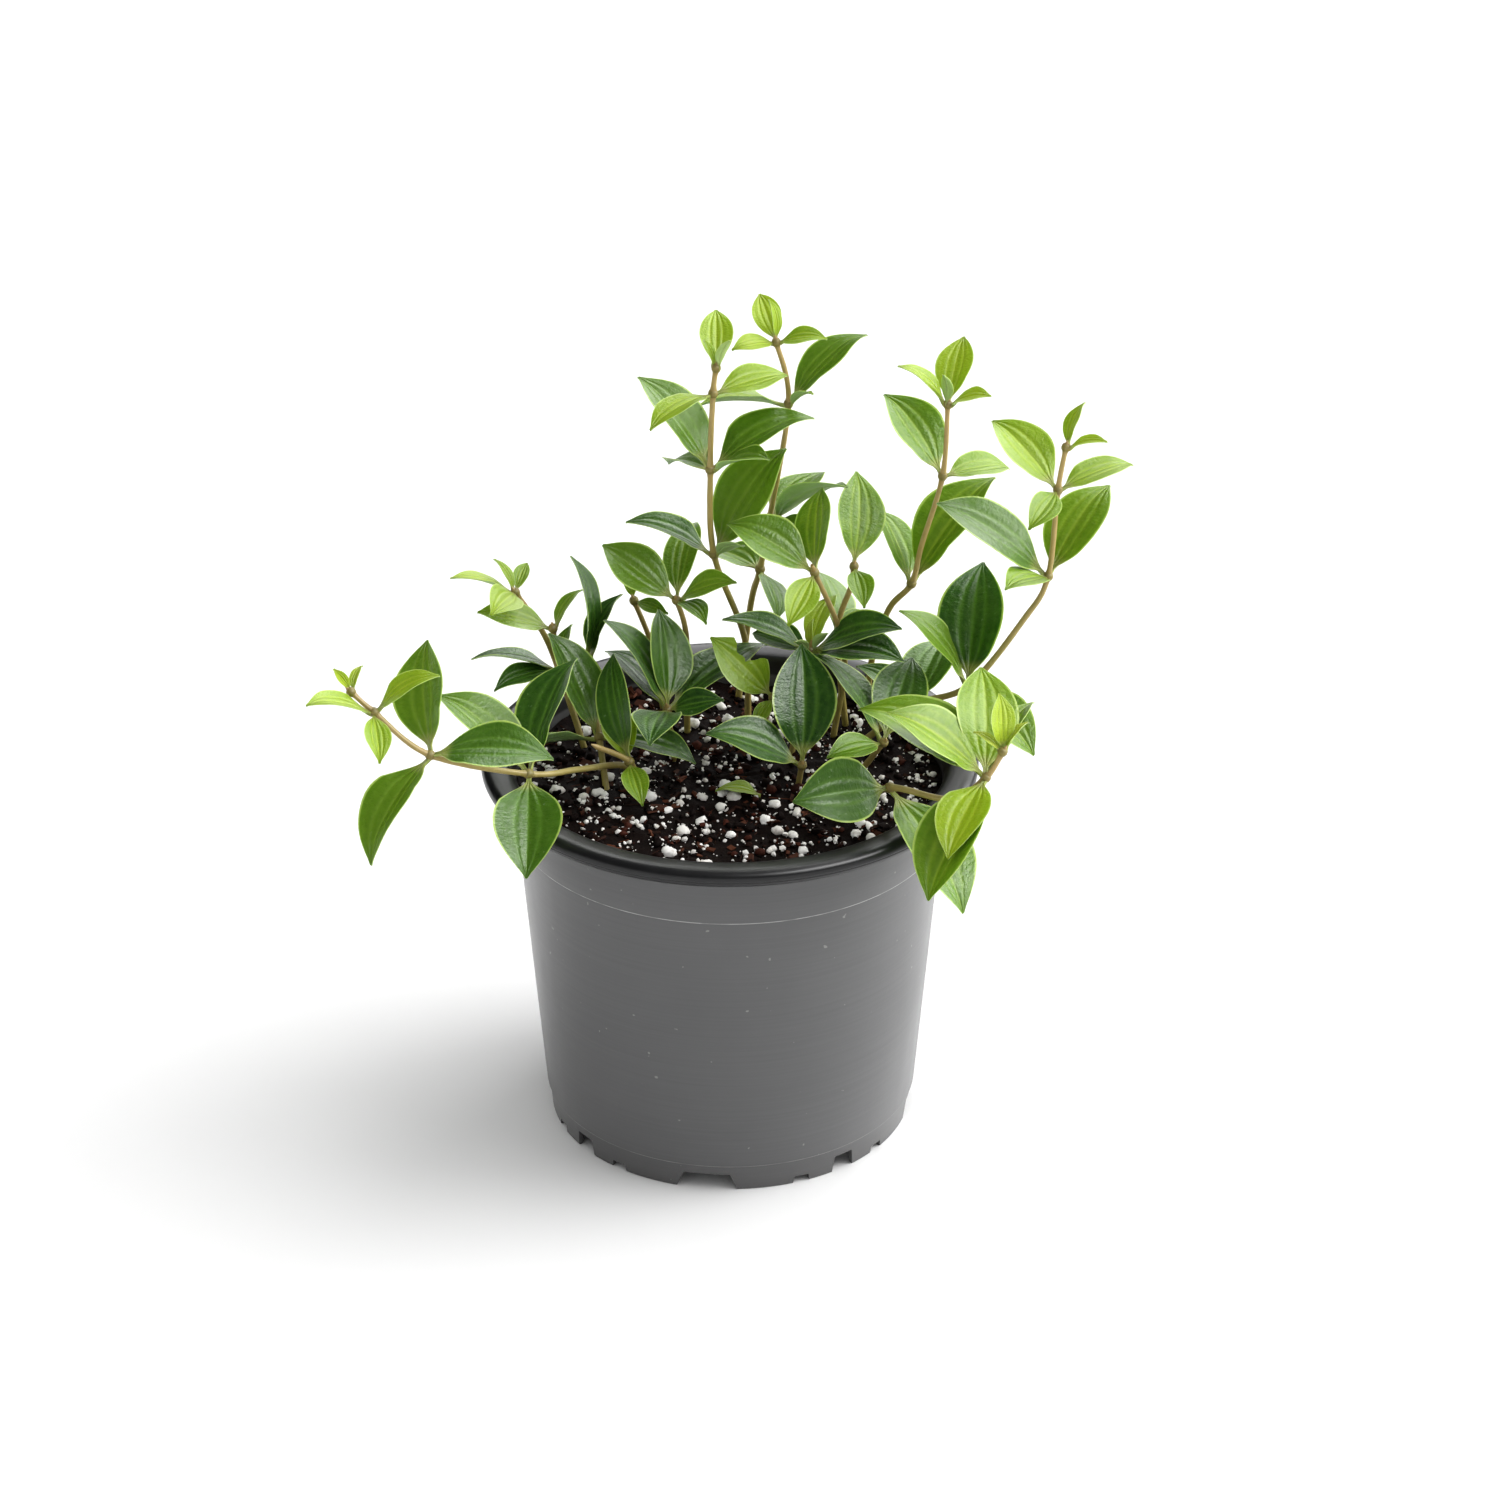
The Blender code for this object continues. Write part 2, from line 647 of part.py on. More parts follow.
def build():
    """Build the whole potted plant, standing on the floor with its box centred on the origin."""
    clear_scene()
    holder = bpy.data.objects.new("potted_peperomia", None)
    bpy.context.scene.collection.objects.link(holder)
    routes = {shoot: full_route(points) for shoot, (points, _) in SHOOTS.items()}
    pieces = [make_pot(holder), make_soil(holder, routes)]
    for shoot, route in routes.items():
        stem = finish_mesh(tube(route, len(route) - 1.0, 0.0), "stem_" + shoot)
        pieces.append(add_object("stem_" + shoot, stem, "stem", holder))
    around = {piece.name: mesh_tree(piece.data) for piece in pieces}
    make_whorls(routes, around, holder)
    bpy.context.view_layer.update()
    corners = [piece.matrix_world @ vert.co for piece in bpy.data.objects
               if piece.name.startswith(("pot", "leaves")) and piece.type == "MESH"
               for vert in piece.data.vertices]
    centre_x = (min(corner.x for corner in corners) + max(corner.x for corner in corners)) / 2
    centre_y = (min(corner.y for corner in corners) + max(corner.y for corner in corners)) / 2
    holder.location = (-centre_x, -centre_y, 0)


build()
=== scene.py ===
# %% [markdown]
# # A potted peperomia
# A young trailing peperomia stands in a round nursery pot. The lesson loads the plain solid model of
# the plant, and then grows a finer skin over every piece of it: the pot, the soil, the stems and the
# whorls of leaves. The solid model could be painted as it is, but its leaves are flat plates, so
# each of its pieces is replaced by a detailed one that stands in the same place.

# %% Load the solid model
import math
import random

import bmesh
import bpy
from mathutils import Matrix, Vector, noise
from mathutils.kdtree import KDTree


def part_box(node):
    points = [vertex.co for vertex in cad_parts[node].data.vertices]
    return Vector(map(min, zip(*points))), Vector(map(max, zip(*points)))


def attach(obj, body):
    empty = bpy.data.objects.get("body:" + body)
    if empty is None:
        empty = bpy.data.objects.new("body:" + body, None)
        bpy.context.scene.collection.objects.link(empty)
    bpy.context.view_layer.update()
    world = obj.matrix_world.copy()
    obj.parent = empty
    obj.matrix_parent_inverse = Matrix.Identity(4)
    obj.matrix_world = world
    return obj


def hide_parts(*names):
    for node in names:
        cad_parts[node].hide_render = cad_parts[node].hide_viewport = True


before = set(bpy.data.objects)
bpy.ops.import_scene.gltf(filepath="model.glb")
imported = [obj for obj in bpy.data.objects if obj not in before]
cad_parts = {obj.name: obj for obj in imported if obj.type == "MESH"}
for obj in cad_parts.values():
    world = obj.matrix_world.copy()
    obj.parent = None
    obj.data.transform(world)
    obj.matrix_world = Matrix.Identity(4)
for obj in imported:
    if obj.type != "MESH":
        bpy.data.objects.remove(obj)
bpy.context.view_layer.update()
MM = 0.001
pot_low, pot_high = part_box("pot")
AXIS = Vector(((pot_low.x + pot_high.x) / 2, (pot_low.y + pot_high.y) / 2, 0))
SOIL_LEVEL = 120 * MM
print("nodes", len(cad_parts), "pot axis", [round(value, 5) for value in AXIS])

# %% [markdown]
# ## Camera
# A long lens stands well back and looks down at the plant at 28 degrees, as a product picture does.
# A long lens keeps the pot's sides nearly parallel. The camera is placed from the pot's own axis, so
# it follows the pot.

# %% Place the camera
CAMERA_OFFSET = Vector((0, -1.2769, 0.8078))
CAMERA_TILT = 62.01
CAMERA_PAN = -0.29
camera = bpy.data.objects.new("camera", bpy.data.cameras.new("camera"))
camera.data.lens = 108
camera.data.sensor_width = 36
camera.location = AXIS + CAMERA_OFFSET
camera.rotation_euler = (math.radians(CAMERA_TILT), 0, math.radians(CAMERA_PAN))
bpy.context.scene.collection.objects.link(camera)
bpy.context.scene.camera = camera
print("camera looks down", round(90 - CAMERA_TILT, 2), "degrees")

# %% [markdown]
# ## Shader maths
# A material is a network of nodes, and most of them are sums. Wiring sums by hand is hard to read,
# so a small class wraps a socket and lets Python's own signs add the Math nodes. A second class
# holds one material and adds any other node, with its settings first and its sockets after.

# %% Sockets that can be added and multiplied
class Shade:
    """A value in a material: arithmetic on it adds Math nodes."""

    def __init__(self, finish, socket):
        self.finish = finish
        self.socket = socket

    def math(self, operation, first, second):
        return self.finish.node("Math", {"operation": operation}, {0: first, 1: second})

    def __add__(self, other):
        return self.math("ADD", self, other)

    __radd__ = __add__

    def __sub__(self, other):
        return self.math("SUBTRACT", self, other)

    def __rsub__(self, other):
        return self.math("SUBTRACT", other, self)

    def __mul__(self, other):
        return self.math("MULTIPLY", self, other)

    __rmul__ = __mul__

    def __abs__(self):
        return self.math("ABSOLUTE", self, 0.0)


class Finish:
    """One material, made around its Principled shader."""

    def __init__(self, name, constants):
        self.material = bpy.data.materials.new(name)
        self.material.use_nodes = True
        self.tree = self.material.node_tree
        self.surface = self.tree.nodes["Principled BSDF"]
        for socket, value in constants.items():
            self.surface.inputs[socket].default_value = value

    def feed(self, socket, value):
        if isinstance(value, Shade):
            self.tree.links.new(value.socket, socket)
        else:
            socket.default_value = value

    def node(self, kind, settings, sockets, output=0):
        made = self.tree.nodes.new("ShaderNode" + kind)
        for setting, value in settings.items():
            setattr(made, setting, value)
        for socket, value in sockets.items():
            self.feed(made.inputs[socket], value)
        return Shade(self, made.outputs[output])

    def place(self):
        return self.node("TexCoord", {}, {}, "Object")

    def axis(self, vector, name):
        return self.node("SeparateXYZ", {}, {0: vector}, name)

    def attribute(self, name):
        return self.node("Attribute", {"attribute_name": name}, {}, "Fac")

    def vector(self, x, y, z):
        return self.node("CombineXYZ", {}, {0: x, 1: y, 2: z})

    def stretched(self, vector, scale):
        return self.node("VectorMath", {"operation": "MULTIPLY"}, {0: vector, 1: scale})

    def grain(self, vector, scale, detail=3.0, rough=0.5):
        sockets = {"Vector": vector, "Scale": scale, "Detail": detail, "Roughness": rough}
        return self.node("TexNoise", {}, sockets, "Fac")

    def step(self, value, low, high):
        sockets = {"Value": value, "From Min": low, "From Max": high}
        return self.node("MapRange", {"interpolation_type": "SMOOTHSTEP"}, sockets)

    def blend(self, share, first, second):
        mix = {"data_type": "RGBA", "clamp_factor": True}
        return self.node("Mix", mix, {0: share, 6: first, 7: second}, 2)

    def bump(self, height, strength, distance):
        return self.node("Bump", {}, {"Height": height, "Strength": strength,
                                      "Distance": distance})

    def apply(self, sockets):
        for socket, value in sockets.items():
            self.feed(self.surface.inputs[socket], value)
        return self.material


def colour(red, green, blue):
    return (red, green, blue, 1.0)


print("shader helpers are ready")

# %% [markdown]
# ## Finishing a piece
# Every piece ends the same way: its faces point outwards, it is shaded smooth, it gets its material,
# it rides on the model's one body, and it hides the plain solid that it stands for.

# %% One way to finish every piece
def new_piece(name, bm, material, stands_for, angle=40):
    """Make a bmesh a piece of the model, in place of the named solids."""
    bmesh.ops.recalc_face_normals(bm, faces=bm.faces)
    mesh = bpy.data.meshes.new(name)
    bm.to_mesh(mesh)
    bm.free()
    mesh.shade_smooth()
    mesh.set_sharp_from_angle(angle=math.radians(angle))
    mesh.materials.append(material)
    piece = bpy.data.objects.new(name, mesh)
    bpy.context.scene.collection.objects.link(piece)
    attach(piece, "root")
    if stands_for:
        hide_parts(*stands_for)
    return piece


def turned(profile, steps):
    """Spin an outline of (radius, height) points in millimetres around the pot's axis."""
    bm = bmesh.new()
    verts = [bm.verts.new((radius * MM, 0, height * MM)) for radius, height in profile]
    edges = [bm.edges.new(pair) for pair in zip(verts, verts[1:])]
    bmesh.ops.spin(bm, geom=verts + edges, axis=(0, 0, 1), cent=(0, 0, 0), angle=math.tau,
                   steps=steps, use_merge=True)
    bmesh.ops.remove_doubles(bm, verts=bm.verts, dist=0.002 * MM)
    return bm


print("pieces can be finished")

# %% [markdown]
# ## The nursery pot
# The real pot is blown or moulded from thin grey plastic. It has a broad turned-over rim with a
# rounded crest, a plain band under the rim that ends in a fine step, a tapered wall, another fine
# step at the foot, and notches all around the foot so that water can drain. A lathe makes the same
# shape: one outline is spun around the axis, and wedges are then cut out of the foot.

# %% Turn the pot's outline
FOOT_RING = [(58.1, 7.4), (58.0, 0.3), (58.3, 0.0), (59.3, 0.0), (59.6, 0.3)]
WALL_LINE = [(60.35, 8.9), (60.5, 9.3), (61.0, 9.5), (61.15, 9.9), (65.0, 56.0), (68.9, 103.7),
             (69.0, 104.2), (69.0, 104.5), (69.45, 104.7), (69.6, 105.1), (70.2, 113.0),
             (70.7, 119.6), (71.0, 121.2), (71.7, 122.0)]
RIM_LINE = [(74.5, 122.5), (77.2, 123.0), (78.4, 123.2), (78.8, 123.5), (79.0, 124.0),
            (79.35, 124.3), (79.6, 124.8), (79.6, 125.2), (79.9, 125.5), (80.0, 126.2),
            (79.9, 127.1), (79.5, 127.8), (78.8, 128.3), (77.8, 128.55), (76.6, 128.6),
            (75.2, 128.45), (73.2, 128.1), (71.4, 127.8), (70.6, 127.5), (70.0, 126.9),
            (69.5, 125.8), (69.2, 124.2)]
INSIDE_LINE = [(68.6, 118.0), (67.3, 104.4), (59.9, 12.0), (59.4, 9.6), (58.6, 9.0), (0.0, 9.0),
               (0.0, 7.4), (58.1, 7.4)]
pot_bm = turned(FOOT_RING + WALL_LINE + RIM_LINE + INSIDE_LINE, 144)
bmesh.ops.translate(pot_bm, verts=pot_bm.verts, vec=AXIS)
print("pot outline has", len(pot_bm.verts), "corners")

# %% [markdown]
# The notches repeat four times around the foot: one wide one and three small ones. Each is a wedge,
# wider at the floor than at its top. The drain holes are nine short cylinders. One cutter holds all
# of these shapes, and an exact Boolean takes it out of the pot.

# %% Cut the notches and the drain holes
NOTCHES = [(-7.5, 24.5, 15.0, 6.0), (22.5, 6.5, 5.0, 2.5), (37.5, 10.0, 7.0, 6.0),
           (52.5, 6.5, 5.0, 2.5)]
NOTCH_REPEATS = 4
FOOT_RADIUS = 59.6
DRAIN_RING = 42.8
DRAIN_COUNT = 8
DRAIN_RADIUS = 4
FLOOR_MIDDLE = 8.2


def foot_cutter():
    """Wedges for the notches and cylinders for the drain holes."""
    bm = bmesh.new()
    for repeat in range(NOTCH_REPEATS):
        for angle, bottom, top, height in NOTCHES:
            block = bmesh.ops.create_cube(bm, size=1.0)["verts"]
            for vert in block:
                upper = vert.co.z > 0
                width = top if upper else bottom
                drop = height if upper else -height
                vert.co = Vector((vert.co.x * width, vert.co.y * 8 - FOOT_RADIUS, drop)) * MM
            turn = Matrix.Rotation(math.radians(angle + repeat * 360 / NOTCH_REPEATS), 3, "Z")
            bmesh.ops.rotate(bm, verts=block, matrix=turn, cent=(0, 0, 0))
    holes = [(0.0, 0.0)]
    for number in range(DRAIN_COUNT):
        angle = math.tau * (number + 0.5) / DRAIN_COUNT
        holes.append((DRAIN_RING * math.sin(angle), DRAIN_RING * math.cos(angle)))
    for x, y in holes:
        middle = Matrix.Translation(Vector((x, y, FLOOR_MIDDLE)) * MM)
        bmesh.ops.create_cone(bm, cap_ends=True, segments=24, radius1=DRAIN_RADIUS * MM,
                              radius2=DRAIN_RADIUS * MM, depth=5 * MM, matrix=middle)
    bmesh.ops.translate(bm, verts=bm.verts, vec=AXIS)
    return bm


def cut_out(bm, cutter_bm):
    """Take a cutter out of a bmesh with a Boolean, and give the result as a bmesh."""
    objects = []
    for label, source in (("cut_body", bm), ("cut_tool", cutter_bm)):
        bmesh.ops.recalc_face_normals(source, faces=source.faces)
        mesh = bpy.data.meshes.new(label)
        source.to_mesh(mesh)
        source.free()
        objects.append(bpy.data.objects.new(label, mesh))
        bpy.context.scene.collection.objects.link(objects[-1])
    body, tool = objects
    cut = body.modifiers.new("cut", "BOOLEAN")
    cut.operation = "DIFFERENCE"
    cut.object = tool
    result = bmesh.new()
    result.from_object(body, bpy.context.evaluated_depsgraph_get())
    for item in objects:
        bpy.data.objects.remove(item)
    return result


pot_bm = cut_out(pot_bm, foot_cutter())
print("pot with notches has", len(pot_bm.faces), "faces")

# %% [markdown]
# The plastic is a satin charcoal grey. Its wall has faint level lines from the mould and a few
# specks. The rim is smoother, and painted shade makes it and the inside above the soil darker than
# the wall. Painted highlights make pale lines along its two steps, where their edges catch the
# light, broken up by streaks. All of that is worked out from the height and the place on the pot.

# %% Paint the pot
UPPER_STEP = 104.75 * MM
LOWER_STEP = 9.45 * MM


def pot_plastic():
    """Satin grey plastic, with painted shade darkening the rim and inside."""
    finish = Finish("pot_plastic", {"Specular IOR Level": 0.4, "Coat Roughness": 0.25})
    place = finish.place()
    height = finish.axis(place, "Z")
    cloud = finish.grain(place, 34.0, 4.0)
    lines = finish.grain(finish.stretched(place, (14.0, 14.0, 1300.0)), 1.0, 2.0)
    streaks = finish.grain(finish.stretched(place, (160.0, 160.0, 30.0)), 1.0, 3.0)
    fine = finish.grain(place, 900.0, 2.0)
    specks = finish.step(finish.grain(place, 420.0, 1.0), 0.77, 0.80)
    rim = finish.step(height, 121.2 * MM, 122.4 * MM)
    wall = finish.blend(cloud, colour(0.074, 0.074, 0.076), colour(0.094, 0.094, 0.096))
    wall = finish.blend(lines * 0.22, wall, colour(0.17, 0.17, 0.172))
    wall = finish.blend(specks * 0.5, wall, colour(0.30, 0.30, 0.29))
    # Painted highlights: pale lines along the two steps, where their edges catch the light, broken up
    # by streaks.
    highlight_breaks = 0.35 + 0.65 * finish.step(streaks, 0.35, 0.60)
    upper_step_highlight = 1 - finish.step(abs(height - UPPER_STEP), 0.10 * MM, 0.42 * MM)
    lower_step_highlight = 1 - finish.step(abs(height - LOWER_STEP), 0.10 * MM, 0.36 * MM)
    edges = (upper_step_highlight + lower_step_highlight * 0.7) * highlight_breaks
    wall = finish.blend(edges * 0.75, wall, colour(0.42, 0.42, 0.41))
    # Painted shade: the rim and the inside above the soil get a near-black grey.
    rim_painted_shade = finish.blend(streaks * 0.6, colour(0.012, 0.012, 0.013), colour(0.024, 0.024, 0.025))
    # The colour is blended a little darker towards the foot.
    low = finish.step(height, 16 * MM, 0.0) * 0.35
    tint = finish.blend(low, finish.blend(rim, wall, rim_painted_shade), colour(0.075, 0.073, 0.070))
    rough = 0.43 + (cloud - 0.5) * 0.14 + specks * 0.15 - rim * 0.09 + (streaks - 0.5) * 0.08
    bump = finish.bump(lines * 0.35 + fine * 0.5 + cloud * 0.6, 0.30, 0.10 * MM)
    return finish.apply({"Base Color": tint, "Roughness": rough, "Normal": bump,
                         "Coat Weight": 0.6 - rim * 0.5})


pot = new_piece("pot_shell", pot_bm, pot_plastic(), ["pot"])
print("pot is", round(pot.dimensions.x / MM, 1), "mm across and", round(pot.dimensions.z / MM, 1),
      "mm high")

# %% [markdown]
# ## The soil
# Potting mix is a dark, lumpy bed of peat and bark with white perlite all through it. The bed is
# one turned solid whose top is raised and lowered by noise. Crumbs, bark, fibres and perlite are
# then scattered over it. Each of them is copied hundreds of times, so each has few faces.

# %% Shape the bed of soil
BED_RADIUS = 68.3
BED_RINGS = 66
BED_FOOT = (60.2, 9.6)


def bed_height(x, y):
    """Height of the soil's surface in metres at a place measured from the pot's axis."""
    swell = 1.2 * MM * (math.sin(x / (18 * MM) + 0.6) * math.cos(y / (18 * MM) - 0.4) - 0.5)
    lumps = noise.fractal(Vector((x, y, 0.02)) / (7 * MM), 0.9, 2.1, 4) * 0.9 * MM
    crumbs = noise.fractal(Vector((y, x, 0.05)) / (1.7 * MM), 0.8, 2.0, 2) * 0.28 * MM
    return SOIL_LEVEL + swell + lumps + crumbs - 0.3 * MM


def soil_bed():
    """A turned root ball with a fine, uneven top."""
    top = [(BED_RADIUS * ring / BED_RINGS, SOIL_LEVEL / MM) for ring in range(BED_RINGS + 1)]
    bm = turned(top + [BED_FOOT, (0.0, BED_FOOT[1])], 150)
    for vert in bm.verts:
        if vert.co.z > 100 * MM:
            vert.co.z = bed_height(vert.co.x, vert.co.y)
    bmesh.ops.translate(bm, verts=bm.verts, vec=AXIS)
    return bm


bed_bm = soil_bed()
print("soil bed has", len(bed_bm.verts), "corners")

# %% [markdown]
# A lump starts as a small icosphere whose corners are pushed in and out. A bark chip is a flat
# block, and a fibre is a thin three-sided cone. Every lump carries its own number from 0 to 1 in an
# attribute called "shade", which its material turns into a slightly different colour.

# %% Scatter crumbs, bark and perlite
HANDFUL = 40
SCATTER_RADIUS = 67 * MM


def scatter(bm, count, rng, make, size, sunk=0.3, clumped=0.0):
    """Drop many small shapes on the soil, in handfuls: an operator is slow on a full bmesh."""
    while count > 0:
        handful = min(count, HANDFUL)
        count -= handful
        small = bmesh.new()
        drop(small, handful, rng, make, size, sunk, clumped)
        mesh = bpy.data.meshes.new("handful")
        small.to_mesh(mesh)
        small.free()
        bm.from_mesh(mesh)
        bpy.data.meshes.remove(mesh)


def bed_place(rng, clumped):
    """A place on the soil. Clumped places are only taken where a slow noise is high."""
    while True:
        reach = SCATTER_RADIUS * math.sqrt(rng.random())
        angle = rng.uniform(0, math.tau)
        x = reach * math.cos(angle)
        y = reach * math.sin(angle)
        if noise.noise(Vector((x, y, 0.0)) / (5 * MM)) > rng.uniform(-1.0, 1.0) * 0.3 + clumped:
            return x, y


def drop(bm, count, rng, make, size, sunk, clumped):
    """Drop a few small shapes on the soil, each turned and shaded its own way."""
    shade = bm.verts.layers.float.new("shade")
    for _ in range(count):
        x, y = bed_place(rng, clumped)
        scale = size(rng) * MM
        verts = make(bm, rng)
        bmesh.ops.scale(bm, verts=verts, vec=(scale, scale, scale))
        spin = Matrix.Rotation(rng.uniform(0, math.tau), 3, "Z")
        tilt = Matrix.Rotation(rng.uniform(-0.7, 0.7), 3, "X")
        bmesh.ops.rotate(bm, verts=verts, matrix=spin @ tilt, cent=(0, 0, 0))
        level = bed_height(x, y) + scale * (0.5 - sunk)
        bmesh.ops.translate(bm, verts=verts, vec=AXIS + Vector((x, y, level)))
        tone = rng.random()
        for vert in verts:
            vert[shade] = tone


def lump(faces, rough):
    """A maker of rough lumps, one unit across, from an icosphere."""
    def make(bm, rng):
        verts = bmesh.ops.create_icosphere(bm, subdivisions=faces, radius=0.5)["verts"]
        stretch = Vector((rng.uniform(0.8, 1.25), rng.uniform(0.7, 1.1), rng.uniform(0.6, 0.95)))
        for vert in verts:
            push = 1 + rng.uniform(-rough, rough)
            vert.co = Vector(vert.co[i] * stretch[i] * push for i in range(3))
        return verts
    return make


def chip(bm, rng):
    """A flat flake of bark, one unit long."""
    verts = bmesh.ops.create_cube(bm, size=1.0)["verts"]
    width = rng.uniform(0.3, 0.6)
    for vert in verts:
        skew = rng.uniform(-0.12, 0.12)
        vert.co = Vector((vert.co.x + skew, vert.co.y * width + skew, vert.co.z * 0.16))
    return verts


def fibre(bm, rng):
    """A thin tapered fibre, one unit long, lying down."""
    lie = Matrix.Rotation(math.radians(90), 4, "Y")
    return bmesh.ops.create_cone(bm, cap_ends=True, segments=3, radius1=0.035, radius2=0.015,
                                 depth=1.0, matrix=lie)["verts"]


rng = random.Random(7)
bed_bm.verts.layers.float.new("shade")
scatter(bed_bm, 1500, rng, lump(1, 0.30), lambda r: 0.9 + 2.9 * r.random() ** 3)
bark_bm = bmesh.new()
bark_bm.verts.layers.float.new("shade")
scatter(bark_bm, 290, rng, chip, lambda r: r.uniform(1.6, 5.0), 0.40)
scatter(bark_bm, 330, rng, fibre, lambda r: r.uniform(2.5, 8.0), 0.48)
perlite_bm = bmesh.new()
perlite_bm.verts.layers.float.new("shade")
scatter(perlite_bm, 120, rng, lump(2, 0.17), lambda r: r.uniform(2.2, 4.8), 0.40, 0.10)
scatter(perlite_bm, 640, rng, lump(1, 0.26), lambda r: r.uniform(0.9, 2.3), 0.25, 0.16)
scatter(perlite_bm, 1300, rng, lump(1, 0.28), lambda r: r.uniform(0.35, 1.0), 0.3, -0.1)
print("perlite has", len(perlite_bm.faces), "faces")

# %% [markdown]
# Damp mix is nearly black with a rusty brown in it, and it is dull. Perlite is white and chalky with
# small pores. Bark is a reddish brown with a fine grain.

# %% Paint the soil
def soil_mix():
    """Damp peat and bark."""
    finish = Finish("soil_mix", {"Specular IOR Level": 0.08})
    place = finish.place()
    tone = finish.attribute("shade")
    cloud = finish.grain(place, 260.0, 5.0, 0.6)
    fine = finish.grain(place, 1500.0, 3.0, 0.6)
    tint = finish.blend(cloud, colour(0.003, 0.002, 0.002), colour(0.020, 0.010, 0.008))
    tint = finish.blend(finish.step(tone, 0.66, 1.0) * 0.9, tint, colour(0.085, 0.026, 0.016))
    rough = 0.72 + (fine - 0.5) * 0.5
    bump = finish.bump(cloud + fine * 0.6, 0.9, 0.5 * MM)
    return finish.apply({"Base Color": tint, "Roughness": rough, "Normal": bump})


def bark_brown():
    """Chips and fibres of bark."""
    finish = Finish("bark_brown", {"Specular IOR Level": 0.10})
    place = finish.place()
    tone = finish.attribute("shade")
    cloud = finish.grain(place, 500.0, 4.0, 0.6)
    tint = finish.blend(tone * tone, colour(0.022, 0.009, 0.006), colour(0.165, 0.058, 0.030))
    tint = finish.blend(cloud * 0.6, tint, colour(0.020, 0.010, 0.007))
    bump = finish.bump(cloud, 0.7, 0.3 * MM)
    return finish.apply({"Base Color": tint, "Roughness": 0.62 + cloud * 0.25, "Normal": bump})


def perlite_white():
    """Chalky white grains, a few of them stained by the soil."""
    finish = Finish("perlite_white", {"Specular IOR Level": 0.1})
    place = finish.place()
    tone = finish.attribute("shade")
    pores = finish.grain(place, 1100.0, 4.0, 0.65)
    stain = finish.step(finish.grain(place, 330.0, 3.0), 0.52, 0.72)
    tint = finish.blend(tone, colour(0.76, 0.73, 0.69), colour(0.96, 0.95, 0.93))
    tint = finish.blend(stain * 0.45, tint, colour(0.22, 0.15, 0.11))
    bump = finish.bump(pores, 0.8, 0.35 * MM)
    return finish.apply({"Base Color": tint, "Roughness": 0.75 + pores * 0.2, "Normal": bump})


soil = new_piece("soil_bed", bed_bm, soil_mix(), ["soil"], 60)
bark = new_piece("soil_bark", bark_bm, bark_brown(), [], 30)
perlite = new_piece("soil_perlite", perlite_bm, perlite_white(), [], 55)
print("soil pieces", [piece.name for piece in (soil, bark, perlite)])

# %% [markdown]
# ## The plan of growth
# The plant has nineteen shoots. Each shoot is a list of points that its stem passes, in millimetres
# right, back and up from the middle of the soil's surface, and its whorls of leaves by the number
# of the point where they grow. A leaf is its heading in degrees (0 points back, 90 right), its rise
# above the level in degrees, its length in millimetres, its roll in degrees, and its age, from 0 for
# a bright new leaf to 1 for a dark old one. A sixth value is the width over the length, where that is
# unusual. The solid model follows the same plan, so that each skin fits its solid.

